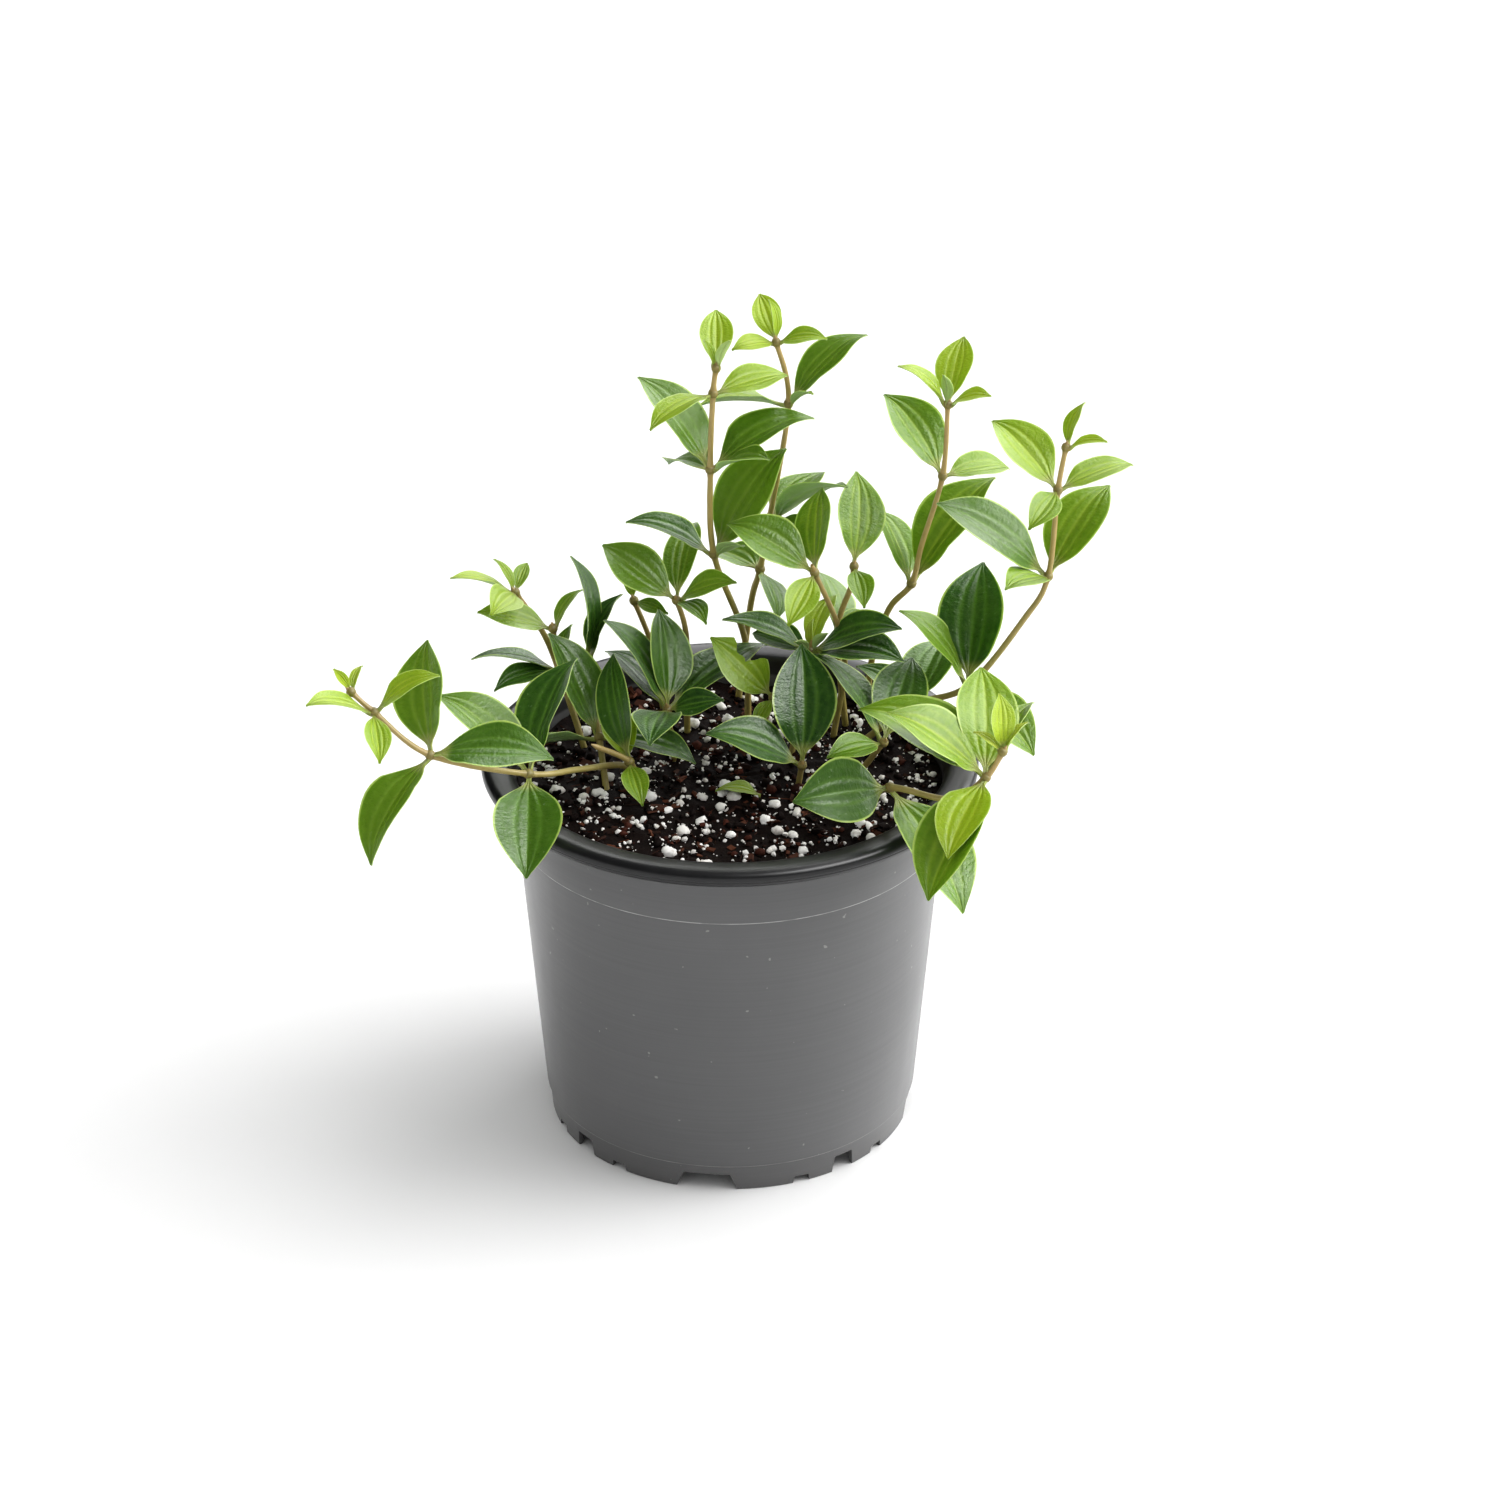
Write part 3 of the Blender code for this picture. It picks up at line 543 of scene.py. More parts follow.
# %% Shoots, whorls and leaves
SHOOTS = {
    "tall_left": (
        [(6, 42, 0), (5, 38, 30), (-5, 27, 66), (-6, 22, 98), (-5, 20, 125), (-4, 19, 134)],
        {
            2: [(-80, 20, 30, 0, 0.9), (135, 30, 16, 30, 0.5),
                (74, 55, 41, -20, 0.6)],
            3: [(-50, 40, 38, -5, 0.7), (65, 20, 38, 0, 0.65),
                (130, 25, 26, -5, 0.6), (-30, -15, 28, 0, 0.7)],
            4: [(65, 5, 26, -15, 0.3), (-130, -10, 26, -5, 0.25)],
            5: [(0, 35, 22, 0, 0.2), (-90, 70, 10, 30, 0.3),
                (125, 65, 12, 20, 0.05)],
        },
    ),
    "tall_back": (
        [(3, 56, 0), (7, 50, 37), (10, 49, 50), (13, 47, 69), (19, 44, 111), (15, 42, 133)],
        {
            2: [(165, -15, 24, 30, 0.7), (-30, -10, 30, 5, 0.5)],
            3: [(35, 10, 32, 15, 0.6), (125, 35, 34, 25, 0.6),
                (155, 10, 22, 0, 0.6)],
            4: [(-100, 5, 29, -15, 0.3), (60, 35, 34, 5, 0.6),
                (140, 35, 14, 15, 0.3)],
            5: [(-120, 5, 16, 20, 0.15), (110, 15, 17, -20, 0.2),
                (-20, 35, 19, 20, 0.15), (-45, 80, 14, -10, 0.1)],
        },
    ),
    "right_back": (
        [(45, 44, 0), (47, 42, 22), (52, 38, 41), (59, 36, 51), (62, 34, 66), (68, 30, 92),
         (69, 27, 118)],
        {
            3: [(-25, 35, 30, -25, 0.5), (50, 40, 45, 5, 0.4)],
            5: [(-45, 40, 33, 10, 0.5), (60, -5, 26, -15, 0.4)],
            6: [(-80, 40, 20, 0, 0.15), (125, 25, 17, -15, 0.2),
                (15, 35, 26, 15, 0.2), (-150, 75, 12, 0, 0.1)],
        },
    ),
    "right_arching": (
        [(44, 24, 0), (60, 20, 15), (77, 14, 25), (94, 10, 51), (101, 8, 67), (103, 6, 98),
         (105, 5, 113)],
        {
            1: [(20, 15, 34, 5, 0.8), (-55, 20, 24, 0, 0.9)],
            2: [(10, 50, 42, 10, 0.9), (-75, 50, 34, -5, 0.6),
                (135, -25, 32, -15, 0.5)],
            4: [(40, 35, 38, 0, 0.4), (-85, 35, 43, 15, 0.75),
                (-145, 15, 26, 10, 0.4)],
            5: [(-45, 30, 32, 10, 0.3), (65, 10, 27, -5, 0.25),
                (-150, -15, 20, 25, 0.4)],
            6: [(30, 45, 16, 35, 0.15), (115, 20, 14, -15, 0.15)],
        },
    ),
    "centre": (
        [(34, 27, 0), (37, 22, 34), (27, 9, 68)],
        {
            2: [(-70, 25, 32, 25, 0.6), (5, 40, 30, 40, 0.4),
                (-155, -25, 22, 20, 0.2)],
        },
    ),
    "centre_back": (
        [(38, 36, 0), (35, 30, 36), (39, 27, 54), (40, 26, 62)],
        {
            1: [(0, 35, 32, -40, 0.6), (40, 0, 18, -15, 0.6)],
            3: [(5, 50, 32, -30, 0.4), (170, -20, 18, 0, 0.5)],
        },
    ),
    "centre_left": (
        [(-14, 32, 0), (-14, 27, 36), (-17, 18, 54)],
        {
            2: [(-64, 29, 30, 28, 0.65), (118, 29, 24, -25, 0.5),
                (9, 19, 38, 20, 0.5, 0.35), (148, 1, 18, 0, 0.6)],
        },
    ),
    "budding": (
        [(-22, 46, 0), (-25, 40, 25), (-31, 36, 45)],
        {
            2: [(-50, 70, 12, 30, 0.3), (130, 0, 14, -40, 0.5)],
        },
    ),
    "left_back": (
        [(-50, 34, 0), (-58, 32, 29), (-63, 30, 41), (-69, 28, 52)],
        {
            3: [(-165, 10, 24, 30, 0.25), (-100, 20, 22, -10, 0.2),
                (15, 20, 14, -10, 0.3), (-45, 45, 13, -20, 0.25)],
        },
    ),
    "left": (
        [(-48, 22, 0), (-55, 26, 25), (-57, 24, 41)],
        {
            1: [(-90, 5, 29, -15, 0.9), (-120, 0, 24, 5, 0.9),
                (16, 50, 16, 40, 0.7)],
            2: [(-95, 18, 25, 20, 0.35), (34, 28, 18, 30, 0.4)],
        },
    ),
    "left_low": (
        [(-40, -5, 0), (-42, 2, 13), (-44, 12, 22), (-46, 21, 30)],
        {
            1: [(-45, 55, 37, -10, 0.8), (115, 2, 33, 0, 0.9),
                (-100, -5, 30, -30, 0.9)],
            3: [(-5, 64, 35, -60, 0.95), (32, 42, 26, 30, 0.9)],
        },
    ),
    "left_trailing": (
        [(-31, -1, 0), (-35, -8, 8), (-48, -22, 14), (-63, -36, 20), (-93, -44, 31),
         (-110, -42, 45), (-117, -40, 51)],
        {
            3: [(180, -30, 37, 0, 0.8, 0.6), (-58, 31, 39, 0, 0.6),
                (24, 39, 42, 30, 0.9)],
            4: [(-5, 45, 38, 40, 0.55), (100, 5, 39, -15, 0.8),
                (-140, -40, 39, -15, 0.6)],
            5: [(90, 35, 24, -10, 0.2), (170, -30, 18, 15, 0.2),
                (-118, 25, 25, 5, 0.25)],
            6: [(-65, 40, 9, 30, 0.1), (15, 25, 11, 25, 0.1)],
        },
    ),
    "front_left": (
        [(-29, -8, 0), (-32, -15, 13), (-42, -20, 21)],
        {
            1: [(-30, 45, 23, 0, 0.2), (165, -20, 18, -5, 0.35),
                (-7, 43, 37, 50, 0.9, 0.4)],
        },
    ),
    "right_front": (
        [(42, -22, 0), (50, -42, 18), (68, -53, 20), (79, -54, 28), (84, -54, 37)],
        {
            1: [(-118, 7, 34, 50, 0.85, 0.64), (145, -33, 47, 8, 0.55)],
            3: [(-154, -24, 32, -5, 0.2), (-58, 17, 47, 5, 0.45),
                (-83, 36, 37, 15, 0.3), (0, 36, 39, -15, 0.4),
                (25, 38, 39, 30, 0.4, 0.35), (-145, -40, 43, -8, 0.45)],
            4: [(0, 66, 18, -20, 0.1), (-80, 35, 11, 15, 0.05),
                (60, 45, 12, 10, 0.05)],
        },
    ),
    "front_low": (
        [(-18, 12, 0), (-20, 2, 23)],
        {
            1: [(0, 45, 34, -35, 0.85), (-170, 8, 30, 0, 0.9),
                (110, 20, 20, -40, 0.95), (-40, 20, 32, -15, 0.95),
                (40, 30, 46, 15, 0.9), (-60, 45, 35, -15, 0.9)],
        },
    ),
    "front_upright": (
        [(22, -6, 0), (23, -12, 10)],
        {
            1: [(0, 50, 39, 0, 1), (-95, 25, 33, 20, 0.95)],
        },
    ),
    "right_low": (
        [(42, 2, 0), (49, -8, 16)],
        {
            1: [(-45, 40, 38, -25, 0.85), (20, 30, 34, -15, 0.85),
                (-125, 5, 22, 20, 0.6)],
        },
    ),
    "centre_low": (
        [(8, 17, 0), (14, 10, 23)],
        {
            1: [(-88, 47, 29, 55, 0.35), (-150, -20, 14, 20, 0.3)],
        },
    ),
    "centre_bud": (
        [(20, 14, 0), (26, 16, 37)],
        {
            1: [(-51, -2, 24, 20, 0.9), (-80, 18, 30, -5, 0.9),
                (114, 26, 34, -15, 0.95), (125, 11, 36, -5, 0.95),
                (25, 19, 27, 25, 0.1, 0.4), (-137, 40, 10, -35, 0.05),
                (5, 63, 10, 45, 0.05), (132, 40, 10, 45, 0.1)],
        },
    ),
}
leaf_count = sum(len(leaves) for _, whorls in SHOOTS.values() for leaves in whorls.values())
print(len(SHOOTS), "shoots and", leaf_count, "leaves")

# %% [markdown]
# ## Stems
# A stem is a smooth curve through its points. A Catmull-Rom curve passes every point and needs no
# handles, so a few points make a natural bend. The stem starts below the soil, and it tapers, with a
# swollen joint wherever a whorl grows and a pointed bud at its end.

# %% Follow a smooth curve
PLANTED_DEPTH = 10 * MM
BUD_LENGTH = 2.5 * MM
STEM_BASE_RADIUS = 1.5 * MM
STEM_TIP_RADIUS = 0.9 * MM


def full_route(points):
    """A stem's points in metres, from its planted end to its growing tip."""
    route = [AXIS + Vector((0, 0, SOIL_LEVEL)) + Vector(point) * MM for point in points]
    down = (route[0] - route[1]).normalized()
    ahead = (route[-1] - route[-2]).normalized()
    return [route[0] + down * PLANTED_DEPTH] + route + [route[-1] + ahead * BUD_LENGTH]


def along(route, position):
    """Point and direction on the smooth curve, the position counted in route points."""
    start = min(int(position), len(route) - 2)
    share = position - start
    before = route[max(start - 1, 0)]
    here = route[start]
    after = route[start + 1]
    beyond = route[min(start + 2, len(route) - 1)]
    slope_in = (after - before) / 2
    slope_out = (beyond - here) / 2
    cube = share ** 3
    square = share ** 2
    point = (here * (2 * cube - 3 * square + 1) + slope_in * (cube - 2 * square + share)
             + after * (3 * square - 2 * cube) + slope_out * (cube - square))
    slope = (here * (6 * square - 6 * share) + slope_in * (3 * square - 4 * share + 1)
             + after * (6 * share - 6 * square) + slope_out * (3 * square - 2 * share))
    return point, slope.normalized()


def stem_radius(route, position):
    """A stem tapers evenly from its planted end to its tip."""
    share = position / (len(route) - 1)
    return STEM_BASE_RADIUS + (STEM_TIP_RADIUS - STEM_BASE_RADIUS) * share


routes = {shoot: full_route(points) for shoot, (points, _) in SHOOTS.items()}
print("longest stem has", max(len(route) for route in routes.values()), "points")

# %% [markdown]
# A tube is a row of circles joined by the bridge_loops operator. The circles turn with the curve by
# the smallest turn each time, so the tube does not twist. The attribute "age" runs from 1 at the soil
# to 0 at the tip, and "joint" is 1 at a swollen joint: the paint uses both.

# %% Build the stems
RING_SPACING = 1.7 * MM
JOINT_SWELL = 0.42 * MM
JOINT_REACH = 1.5 * MM
SLIMMING = 0.80


def tube(bm, spots, sides):
    """Circles at (place, direction, radius, age, joint) spots, bridged into a closed tube."""
    age = bm.verts.layers.float.get("age") or bm.verts.layers.float.new("age")
    joint = bm.verts.layers.float.get("joint") or bm.verts.layers.float.new("joint")
    heading = Vector((0, 0, 1))
    turn = Matrix.Identity(3)
    loops = []
    for number, (place, direction, radius, old, node) in enumerate(spots):
        turn = heading.rotation_difference(direction).to_matrix() @ turn
        heading = direction
        ends = number in (0, len(spots) - 1)
        verts = bmesh.ops.create_circle(bm, cap_ends=ends, segments=sides, radius=radius)["verts"]
        bmesh.ops.transform(bm, matrix=Matrix.Translation(place) @ turn.to_4x4(), verts=verts)
        for vert in verts:
            vert[age] = old
            vert[joint] = node
        loops.append({edge for vert in verts for edge in vert.link_edges})
    for lower, upper in zip(loops, loops[1:]):
        bmesh.ops.bridge_loops(bm, edges=list(lower | upper))


def stem_spots(shoot, route, whorls):
    """Circles along one stem, swollen at its joints and drawn in to a bud."""
    joints = [along(route, number + 1)[0] for number in whorls]
    last = len(route) - 1
    tip = route[-1]
    spots = []
    for start in range(last):
        gap = (route[start + 1] - route[start]).length
        steps = max(2, round(gap / RING_SPACING))
        for step in range(steps + (start == last - 1)):
            position = start + step / steps
            place, direction = along(route, position)
            near = max([math.exp(-((place - joint).length / JOINT_REACH) ** 2)
                        for joint in joints] + [0.0])
            wobble = noise.noise(place / (4 * MM)) * 0.06 * MM
            radius = stem_radius(route, position) * SLIMMING + near * JOINT_SWELL + wobble
            left = (tip - place).length / BUD_LENGTH
            if start == last - 1:
                radius *= 0.16 + 0.84 * min(1.0, left) ** 0.7
            spots.append((place, direction, radius, 1 - position / last, near))
    return spots


stem_meshes = {}
for shoot, (_, whorls) in SHOOTS.items():
    stem_bm = bmesh.new()
    tube(stem_bm, stem_spots(shoot, routes[shoot], whorls), 12)
    stem_meshes[shoot] = stem_bm
print("tall_left's stem has", len(stem_meshes["tall_left"].faces), "faces")

# %% [markdown]
# A stem is olive green with a tan skin, and redder where it is young. Its joints are a little
# darker, and it has short pale streaks that run along it.

# %% Paint the stems
def stem_skin():
    """Tan and olive stems with rosy young ends."""
    finish = Finish("stem_skin", {"Specular IOR Level": 0.45, "Coat Weight": 0.08,
                                  "Coat Roughness": 0.3})
    place = finish.place()
    age = finish.attribute("age")
    joint = finish.attribute("joint")
    cloud = finish.grain(place, 130.0, 4.0, 0.6)
    streaks = finish.grain(finish.stretched(place, (900.0, 900.0, 150.0)), 1.0, 3.0)
    young = finish.blend(cloud, colour(0.33, 0.25, 0.075), colour(0.55, 0.38, 0.19))
    old = finish.blend(cloud, colour(0.26, 0.25, 0.050), colour(0.43, 0.33, 0.13))
    tint = finish.blend(finish.step(age, 0.05, 0.75), young, old)
    tint = finish.blend(joint * 0.55, tint, colour(0.145, 0.115, 0.035))
    tint = finish.blend(finish.step(streaks, 0.55, 0.8) * 0.4, tint, colour(0.52, 0.44, 0.22))
    bump = finish.bump(streaks + cloud, 0.35, 0.12 * MM)
    rough = 0.42 + (cloud - 0.5) * 0.2
    return finish.apply({"Base Color": tint, "Roughness": rough, "Normal": bump})


stem_paint = stem_skin()
for shoot, stem_bm in stem_meshes.items():
    new_piece("shoot_" + shoot, stem_bm, stem_paint, ["stem_" + shoot], 60)
print(len(stem_meshes), "stems are in place")

# %% [markdown]
# ## Where each leaf points
# In the solid model a leaf that would run into its neighbour turns aside a little, in steps of 6
# degrees. The skins have to turn the same way. The tip of a solid leaf is a small rectangle, so the
# lesson tries the turns, the gentlest first, until all four of its corners lie on the solid.

# %% Find a solid leaf's turn
TURN_STEP = 6
TURN_LIMIT = 7
LEAF_THICKNESS = 0.9 * MM
STALK_HALF_WIDTH = 0.5 * MM
TIP_SHARE = 0.06


def leaf_ratio(leaf):
    """Width of a leaf over its length: young leaves are slimmer."""
    if len(leaf) > 5:
        return leaf[5]
    if leaf[2] < 15:
        return 0.38
    if leaf[2] < 28:
        return 0.50
    return 0.54


def leaf_axes(heading, rise, roll):
    """Directions along a leaf, across it, and out of its upper face."""
    turn = math.radians(heading)
    lift = math.radians(rise)
    forward = Vector((math.cos(lift) * math.sin(turn), math.cos(lift) * math.cos(turn),
                      math.sin(lift)))
    across = Vector((math.cos(turn), -math.sin(turn), 0))
    up = across.cross(forward)
    twist = Matrix.Rotation(-math.radians(roll), 3, forward)
    return forward, twist @ across, twist @ up


def turns():
    """Turns in degrees of heading, rise and roll, the gentlest first."""
    steps = [TURN_STEP * count for count in range(-TURN_LIMIT, TURN_LIMIT + 1)]
    ways = [(heading, rise, roll) for heading in steps for rise in steps for roll in steps]
    return sorted(ways, key=lambda way: (sum(part ** 2 for part in way), way))


def solid_corners(node):
    """Search tree of a solid's corners."""
    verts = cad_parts[node].data.vertices
    tree = KDTree(len(verts))
    for vert in verts:
        tree.insert(vert.co, vert.index)
    tree.balance()
    return tree


WAYS = turns()


def solid_axes(leaf, middle, tree):
    """The axes of a leaf as the solid model has it."""
    for way in WAYS:
        forward, across, up = leaf_axes(leaf[0] + way[0], leaf[1] + way[1], leaf[3] + way[2])
        tip = middle + forward * leaf[2] * MM
        half = max(leaf_ratio(leaf) * leaf[2] * MM * TIP_SHARE / 2, STALK_HALF_WIDTH)
        corners = [tip + across * half * side + up * LEAF_THICKNESS / 2 * level
                   for side in (-1, 1) for level in (-1, 1)]
        if all(tree.find(corner)[2] < 0.03 * MM for corner in corners):
            return forward, across, up, way
    return leaf_axes(leaf[0], leaf[1], leaf[3]) + (None,)


print(len(WAYS), "turns can be tried")

# %% [markdown]
# ## One leaf
# The leaf is thick and slightly fleshy. Its blade is widest near the middle, has a rounded base and a
# drawn-out tip, folds a little along its midrib, and curls back at the end. It starts as a flat
# grid, which is bent into shape, and a second skin is then pulled down from it to give the blade its
# thickness. Each corner keeps its place across and along the leaf in attributes, so that the veins
# can be painted along it later.

# %% Shape one leaf
OUTLINE = [(0.0, 0.075), (0.06, 0.065), (0.09, 0.10), (0.12, 0.22), (0.16, 0.38), (0.21, 0.56),
           (0.27, 0.72), (0.34, 0.86), (0.42, 0.96), (0.50, 1.00), (0.58, 0.985), (0.66, 0.915),
           (0.73, 0.805), (0.80, 0.655), (0.86, 0.49), (0.91, 0.33), (0.95, 0.19), (0.98, 0.08),
           (1.0, 0.012)]
ACROSS_CELLS = 12
ALONG_CELLS = 28
LAYERS = ("across", "along", "tone", "vary", "under")


def outline_share(position):
    """Share of a leaf's full width at a place along it."""
    for (low, low_share), (high, high_share) in zip(OUTLINE, OUTLINE[1:]):
        if position <= high:
            return low_share + (high_share - low_share) * (position - low) / (high - low)
    return OUTLINE[-1][1]


def bitten(across, position):
    """Draw one side of a leaf in, where something has eaten a ragged piece of it."""
    depth = max(0.0, 1 - ((position - 0.60) / 0.22) ** 2) * 0.80
    ragged = 1 + 0.22 * math.sin(position * 61) * math.sin(position * 23 + 1)
    return min(across, 1 - depth * ragged)


def add_leaf(bm, start, tip, axes, ratio, tone, rng, eaten=False):
    """Add one closed leaf from its start on the stem to its tip."""
    layers = {name: bm.verts.layers.float.get(name) or bm.verts.layers.float.new(name)
              for name in LAYERS}
    forward, side, up = axes
    reach = (tip - start).length
    fold = rng.uniform(0.16, 0.36)
    curl = rng.uniform(0.02, 0.07)
    bow = rng.uniform(0.045, 0.08)
    sway = rng.uniform(-0.025, 0.025)
    wave = rng.uniform(0, math.tau)
    vary = rng.random()
    top = bmesh.ops.create_grid(bm, x_segments=ACROSS_CELLS, y_segments=ALONG_CELLS, size=1.0)
    for vert in top["verts"]:
        position = (vert.co.y + 1) / 2
        across = bitten(vert.co.x, position) if eaten else vert.co.x
        half = max(ratio * reach * outline_share(position) / 2, 0.42 * MM)
        blade = min(1.0, max(0.0, (position - 0.12) / 0.2))
        lift = bow * 4 * position * (1 - position) - curl * max(0.0, position - 0.72) ** 2 / 0.08
        rise = (fold * abs(across) ** 1.15 * blade
                + 0.05 * math.sin(wave + position * 9) * across * abs(across) * blade)
        drift = sway * math.sin(math.pi * position)
        vert[layers["across"]] = across
        vert[layers["along"]] = position
        vert.co = (start.lerp(tip, position) + up * (reach * lift + half * rise)
                   + side * (half * across + reach * drift))
    faces = list({face for vert in top["verts"] for face in vert.link_faces})
    under = bmesh.ops.extrude_face_region(bm, geom=faces)["geom"]
    lower = [item for item in under if isinstance(item, bmesh.types.BMVert)]
    for vert in lower:
        position = vert[layers["along"]]
        stalk = min(1.0, max(0.0, (position - 0.06) / 0.16))
        edge = 1 - abs(vert[layers["across"]]) ** 4
        thick = (1.1 - 0.62 * stalk) * MM * (0.35 + 0.65 * edge)
        midrib = math.exp(-(vert[layers["across"]] / 0.16) ** 2) * 0.38 * MM * (1 - position)
        vert.co -= up * (thick + midrib)
        vert[layers["under"]] = 1.0
    for vert in top["verts"] + lower:
        vert[layers["tone"]] = tone
        vert[layers["vary"]] = vary


test_bm = bmesh.new()
add_leaf(test_bm, Vector(), Vector((0, 0.04, 0)), leaf_axes(0, 0, 0), 0.5, 0.5, random.Random(1))
print("one leaf has", len(test_bm.faces), "faces")
test_bm.free()

# %% [markdown]
# ## Whorls
# Two to eight leaves leave the stem at one joint and are one growth with it. A rounded ring sits
# around the joint and hides where the stalks meet the stem. Each whorl takes the place of one solid.
# One leaf low in the middle has been partly eaten.

# %% Grow the whorls
RING_OUTLINE = [(0.0, -1.35), (0.30, -1.2), (0.62, -0.7), (0.75, 0.0), (0.62, 0.7), (0.30, 1.2),
                (0.0, 1.35)]
EATEN_LEAF = ("leaves_centre_low_1", 0)


def add_ring(bm, middle, direction, radius):
    """A swollen ring around a stem's joint."""
    base = radius * 0.8
    verts = [bm.verts.new((base + out * MM, 0, height * MM)) for out, height in RING_OUTLINE]
    edges = [bm.edges.new(pair) for pair in zip(verts, verts[1:] + verts[:1])]
    bmesh.ops.spin(bm, geom=verts + edges, axis=(0, 0, 1), cent=(0, 0, 0), angle=math.tau,
                   steps=16, use_merge=True)
    turn = Vector((0, 0, 1)).rotation_difference(direction).to_matrix().to_4x4()
    bmesh.ops.transform(bm, matrix=Matrix.Translation(middle) @ turn, verts=bm.verts)


def make_whorl(name, route, number, leaves):
    """One whorl of leaves with its ring, in place of its solid."""
    rng = random.Random(name)
    position = number + 1
    middle, direction = along(route, position)
    radius = stem_radius(route, position)
    tree = solid_corners(name)
    bm = bmesh.new()
    add_ring(bm, middle, direction, radius)
    layers = {layer: bm.verts.layers.float.new(layer) for layer in LAYERS}
    for vert in bm.verts:
        vert[layers["tone"]] = -1.0
        vert[layers["vary"]] = 0.5
    missed = 0
    for order, leaf in enumerate(leaves):
        forward, side, up, way = solid_axes(leaf, middle, tree)
        missed += way is None
        outward = forward - direction * forward.dot(direction) * 0.75
        start = middle + outward.normalized() * radius * 0.5
        tip = middle + forward * leaf[2] * MM
        add_leaf(bm, start, tip, (forward, side, up), leaf_ratio(leaf), leaf[4], rng,
                 (name, order) == EATEN_LEAF)
    return bm, missed


whorl_meshes = {}
missed_leaves = 0
for shoot, (_, whorls) in SHOOTS.items():
    for count, (number, leaves) in enumerate(sorted(whorls.items()), start=1):
        name = f"leaves_{shoot}_{count}"
        whorl_meshes[name], missed = make_whorl(name, routes[shoot], number, leaves)
        missed_leaves += missed
print(len(whorl_meshes), "whorls,", missed_leaves, "leaves without a solid tip")

# %% [markdown]
# ## Painting the leaves
# Each leaf has five pale veins that arc from its base to its tip, a thin pale edge, and a fine
# puckered skin between the veins. A vein keeps to the same share of the leaf's width all the way, so
# the distance from a share gives its line. Old leaves are dark and glossy, new ones are bright
# yellow-green and softer, and every underside is paler. One material does all of them, because the
# attribute "tone" tells it how old a leaf is.

# %% Paint the leaves
def leaf_skin():
    """Green leaf skin with five arcing veins, coloured by its age."""
    finish = Finish("leaf_skin", {"Specular IOR Level": 0.5, "Subsurface Weight": 0.22,
                                  "Subsurface Radius": (0.7, 1.0, 0.15),
                                  "Subsurface Scale": 1.2 * MM})
    place = finish.place()
    across = finish.attribute("across")
    position = finish.attribute("along")
    tone = finish.attribute("tone")
    vary = finish.attribute("vary")
    under = finish.attribute("under")
    side = abs(across)
    cloud = finish.grain(place, 90.0, 3.0)
    mottle = finish.grain(place, 380.0, 4.0, 0.65)
    ripple = finish.vector(across * 6.0, position * 34.0, vary * 40.0)
    pucker = finish.grain(ripple, 1.0, 3.0, 0.6)
    # Pale specks on the older leaves are dust together with painted highlight specks.
    dust_and_sheen_specks = finish.step(finish.grain(place, 760.0, 2.0), 0.66, 0.76) * finish.step(tone, 0.5, 0.9)
    fade = (1 - finish.step(position, 0.62, 0.98) * 0.75) * (0.55 + cloud * 0.8)
    midrib = 1 - finish.step(side, 0.0, 0.11)
    inner = (1 - finish.step(abs(side - 0.38), 0.0, 0.12)) * fade
    outer = (1 - finish.step(abs(side - 0.73), 0.0, 0.09)) * fade
    veins = midrib * 0.85 + inner * 0.58 + outer * 0.16
    halo = (1 - finish.step(side, 0.0, 0.26)) * 0.55
    halo = halo + (1 - finish.step(abs(side - 0.38), 0.0, 0.20)) * 0.40
    rim = finish.step(side, 0.91, 0.97)
    stalk = 1 - finish.step(position, 0.10, 0.20)
    new = finish.blend(vary, colour(0.250, 0.385, 0.003), colour(0.375, 0.500, 0.007))
    middle = finish.blend(vary, colour(0.090, 0.195, 0.002), colour(0.150, 0.272, 0.003))
    old = finish.blend(vary, colour(0.014, 0.060, 0.006), colour(0.030, 0.098, 0.009))
    blade = finish.blend(finish.step(tone, 0.0, 0.50), new, middle)
    blade = finish.blend(finish.step(tone, 0.45, 1.0), blade, old)
    blade = finish.blend(finish.step(tone, 0.12, 0.0) * 0.6, blade, colour(0.52, 0.50, 0.08))
    pale = finish.blend(finish.step(tone, 0.0, 0.9), colour(0.44, 0.56, 0.035),
                        colour(0.115, 0.240, 0.026))
    blade = finish.blend((cloud - 0.35) * 0.5 + (mottle - 0.42) * 0.75, blade, pale)
    # Painted shade: where the puckered skin dips, the colour is darkened towards the old leaf colour.
    blade = finish.blend((0.52 - pucker) * 1.1, blade, finish.blend(0.5, blade, old))
    blade = finish.blend(halo * 0.30, blade, pale)
    blade = finish.blend(dust_and_sheen_specks * 0.35, blade, colour(0.30, 0.40, 0.24))
    tint = finish.blend(veins * 0.80, blade, pale)
    tint = finish.blend(rim * 0.8, tint, colour(0.46, 0.60, 0.16))
    back = finish.blend(0.68, tint, colour(0.40, 0.54, 0.25))
    tint = finish.blend(under, tint, back)
    tint = finish.blend(stalk * 0.8, tint, colour(0.33, 0.36, 0.095))
    ring = finish.step(tone, -0.3, -0.6)
    tint = finish.blend(ring, tint, colour(0.24, 0.20, 0.060))
    rough = 0.31 + (pucker - 0.5) * 0.22 + under * 0.20 + (1 - tone) * 0.08 + veins * 0.05
    height = pucker * 0.9 - veins * 0.5 - halo * 1.2 + mottle * 0.35
    bump = finish.bump(height, 0.85, 0.38 * MM)
    return finish.apply({"Base Color": tint, "Roughness": rough, "Normal": bump})


leaf_paint = leaf_skin()
for name, whorl_bm in whorl_meshes.items():
    shoot, count = name[len("leaves_"):].rsplit("_", 1)
    leaves = sorted(SHOOTS[shoot][1].items())[int(count) - 1][1]
    young = max(leaf[2] for leaf in leaves) < 28
    new_piece("whorl_" + shoot + "_" + count, whorl_bm, leaf_paint, [name], 60)
print(len(whorl_meshes), "whorls are in place")

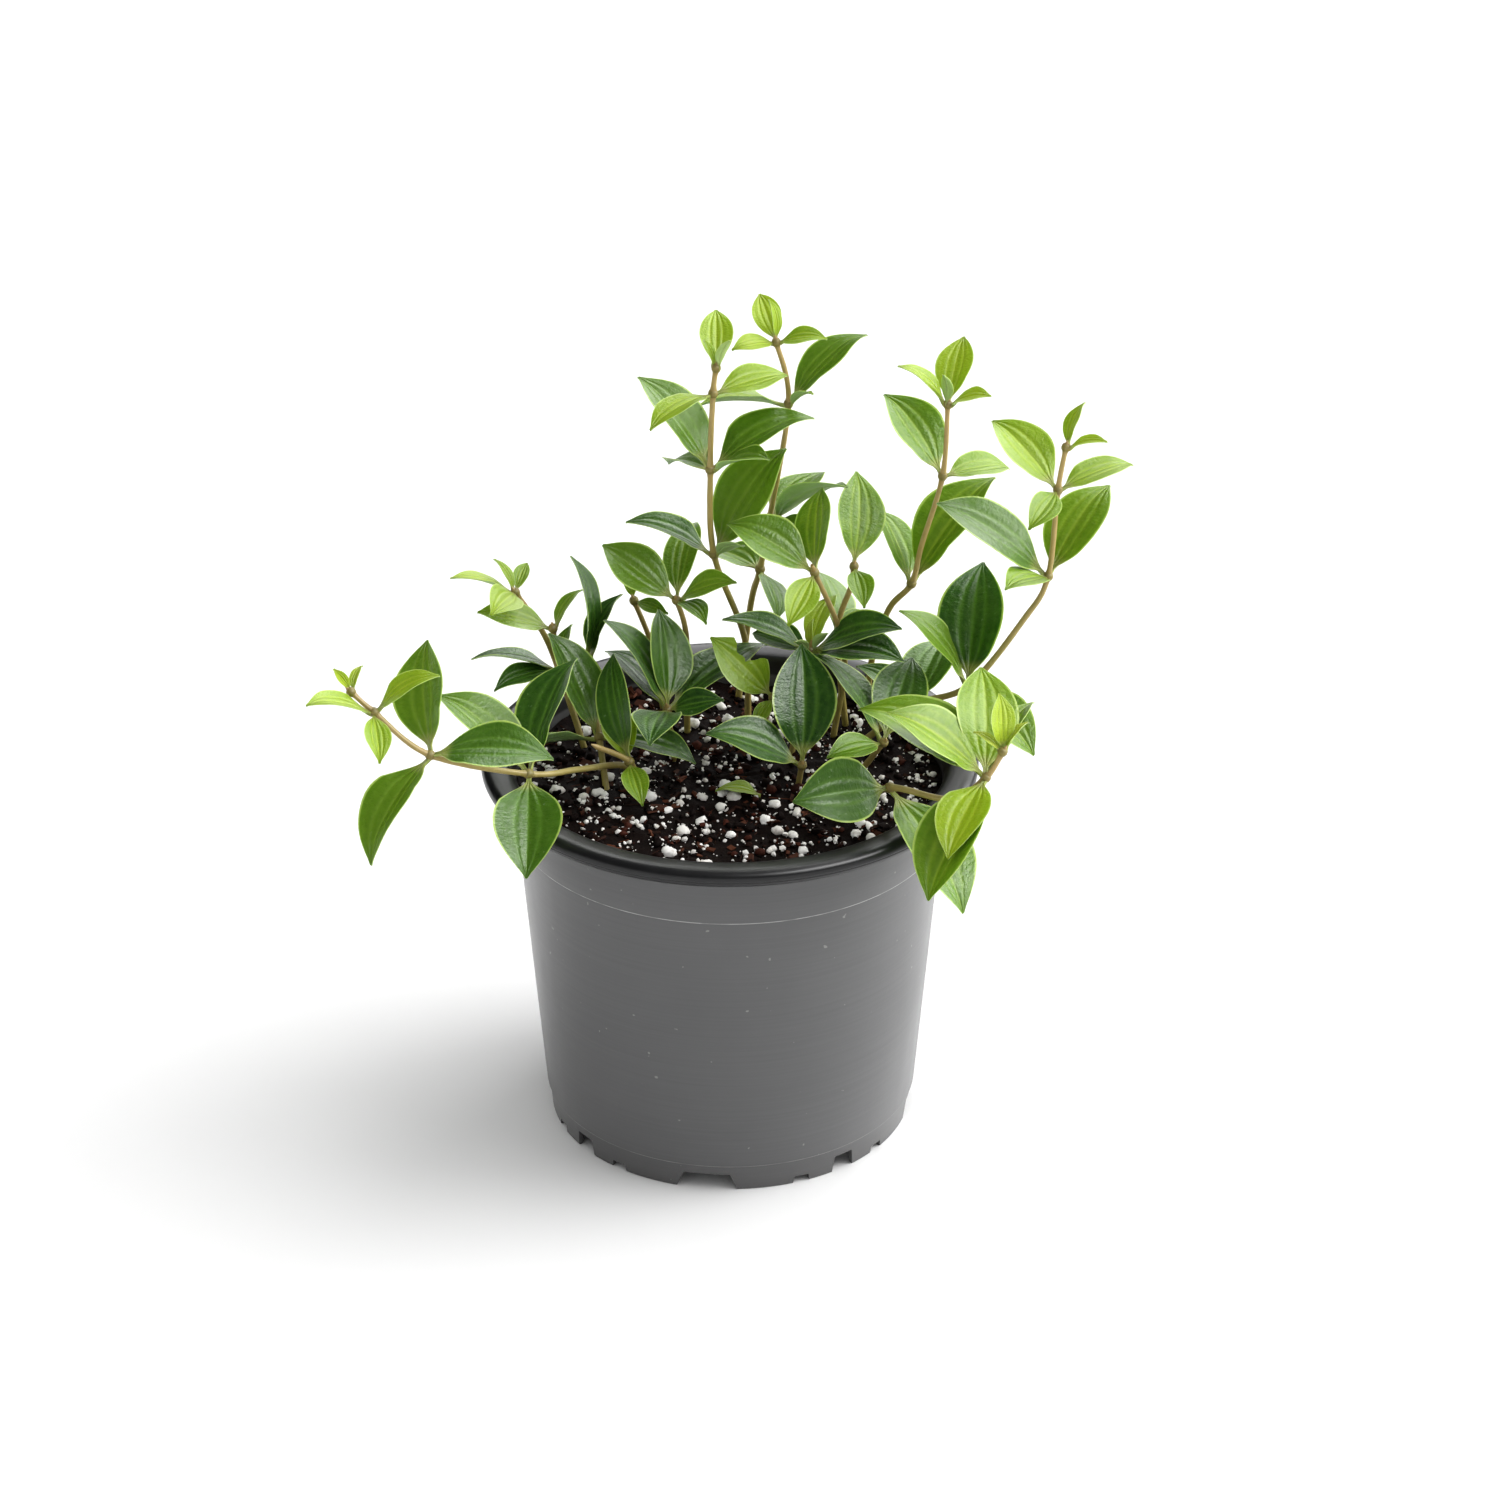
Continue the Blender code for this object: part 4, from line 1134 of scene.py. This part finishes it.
# %% [markdown]
# ## A fallen leaf
# One small leaf has dropped and lies half buried in the soil, with only its near edge showing. It is
# made like the others, flat on the bed and tipped so that its far half is under the crumbs.

# %% Lay the fallen leaf
FALLEN_START = Vector((9.8, -14.0)) * MM
FALLEN_TIP = Vector((-4.6, -11.2)) * MM
FALLEN_RISE = 1.3 * MM
FALLEN_RATIO = 0.74
FALLEN_AGE = 0.12


def fallen_leaf():
    """A small leaf lying in the soil."""
    ends = [AXIS + Vector((x, y, bed_height(x, y) + FALLEN_RISE))
            for x, y in (FALLEN_START, FALLEN_TIP)]
    forward = (ends[1] - ends[0]).normalized()
    side = Vector((0.0, 0.985, -0.17))
    side = (side - forward * side.dot(forward)).normalized()
    bm = bmesh.new()
    add_leaf(bm, ends[0], ends[1], (forward, side, side.cross(forward)), FALLEN_RATIO,
             FALLEN_AGE, random.Random(3))
    return bm


fallen = new_piece("fallen_leaf", fallen_leaf(), leaf_paint, [], 60)
print("fallen leaf is", round(fallen.dimensions.x / MM, 1), "mm long")

# %% [markdown]
# ## Floor and light
# The plant stands on a plain white floor in soft light. Two sun lamps with wide angles stand to the
# right, one high and one low, so a soft shadow falls to the left. Two more only show as sheen on the
# leaves and the pot. A white sky fills in the rest, but is hidden from reflections, which keeps the
# leaves deep green. A look with more contrast finishes the picture.

# %% Add the floor and the light
floor_bm = bmesh.new()
bmesh.ops.create_grid(floor_bm, x_segments=1, y_segments=1, size=8.0)
floor_mesh = bpy.data.meshes.new("floor")
floor_bm.to_mesh(floor_mesh)
floor_bm.free()
floor = bpy.data.objects.new("floor", floor_mesh)
bpy.context.scene.collection.objects.link(floor)
floor_paint = Finish("floor_white", {"Roughness": 0.85, "Base Color": colour(0.80, 0.80, 0.80),
                                     "Specular IOR Level": 0.1})
floor_mesh.materials.append(floor_paint.material)


def lamp(name, direction, energy, angle, sheen_only):
    """A sun with a wide angle; a sheen lamp is only seen in reflections, so it adds no exposure."""
    light = bpy.data.objects.new(name, bpy.data.lights.new(name, "SUN"))
    light.data.energy = energy
    light.data.angle = math.radians(angle)
    light.rotation_euler = Vector(direction).to_track_quat("Z", "Y").to_euler()
    light.visible_diffuse = not sheen_only
    bpy.context.scene.collection.objects.link(light)


lamp("key", (0.78, 0.20, 0.70), 2.1, 76, False)
lamp("low_side", (0.95, 0.14, 0.32), 1.9, 42, False)
lamp("front_sheen", (0.55, -0.38, 0.72), 2.8, 40, True)
lamp("back_sheen", (0.30, 0.78, 0.55), 2.0, 50, True)

world = bpy.data.worlds.new("white_room")
world.use_nodes = True
world.node_tree.nodes["Background"].inputs["Color"].default_value = colour(1.0, 1.0, 1.0)
world.node_tree.nodes["Background"].inputs["Strength"].default_value = 0.72
world.cycles_visibility.glossy = False
bpy.context.scene.world = world
bpy.context.scene.view_settings.view_transform = "Standard"
bpy.context.scene.view_settings.look = "Medium High Contrast"
print("the floor and the lamps are in place")
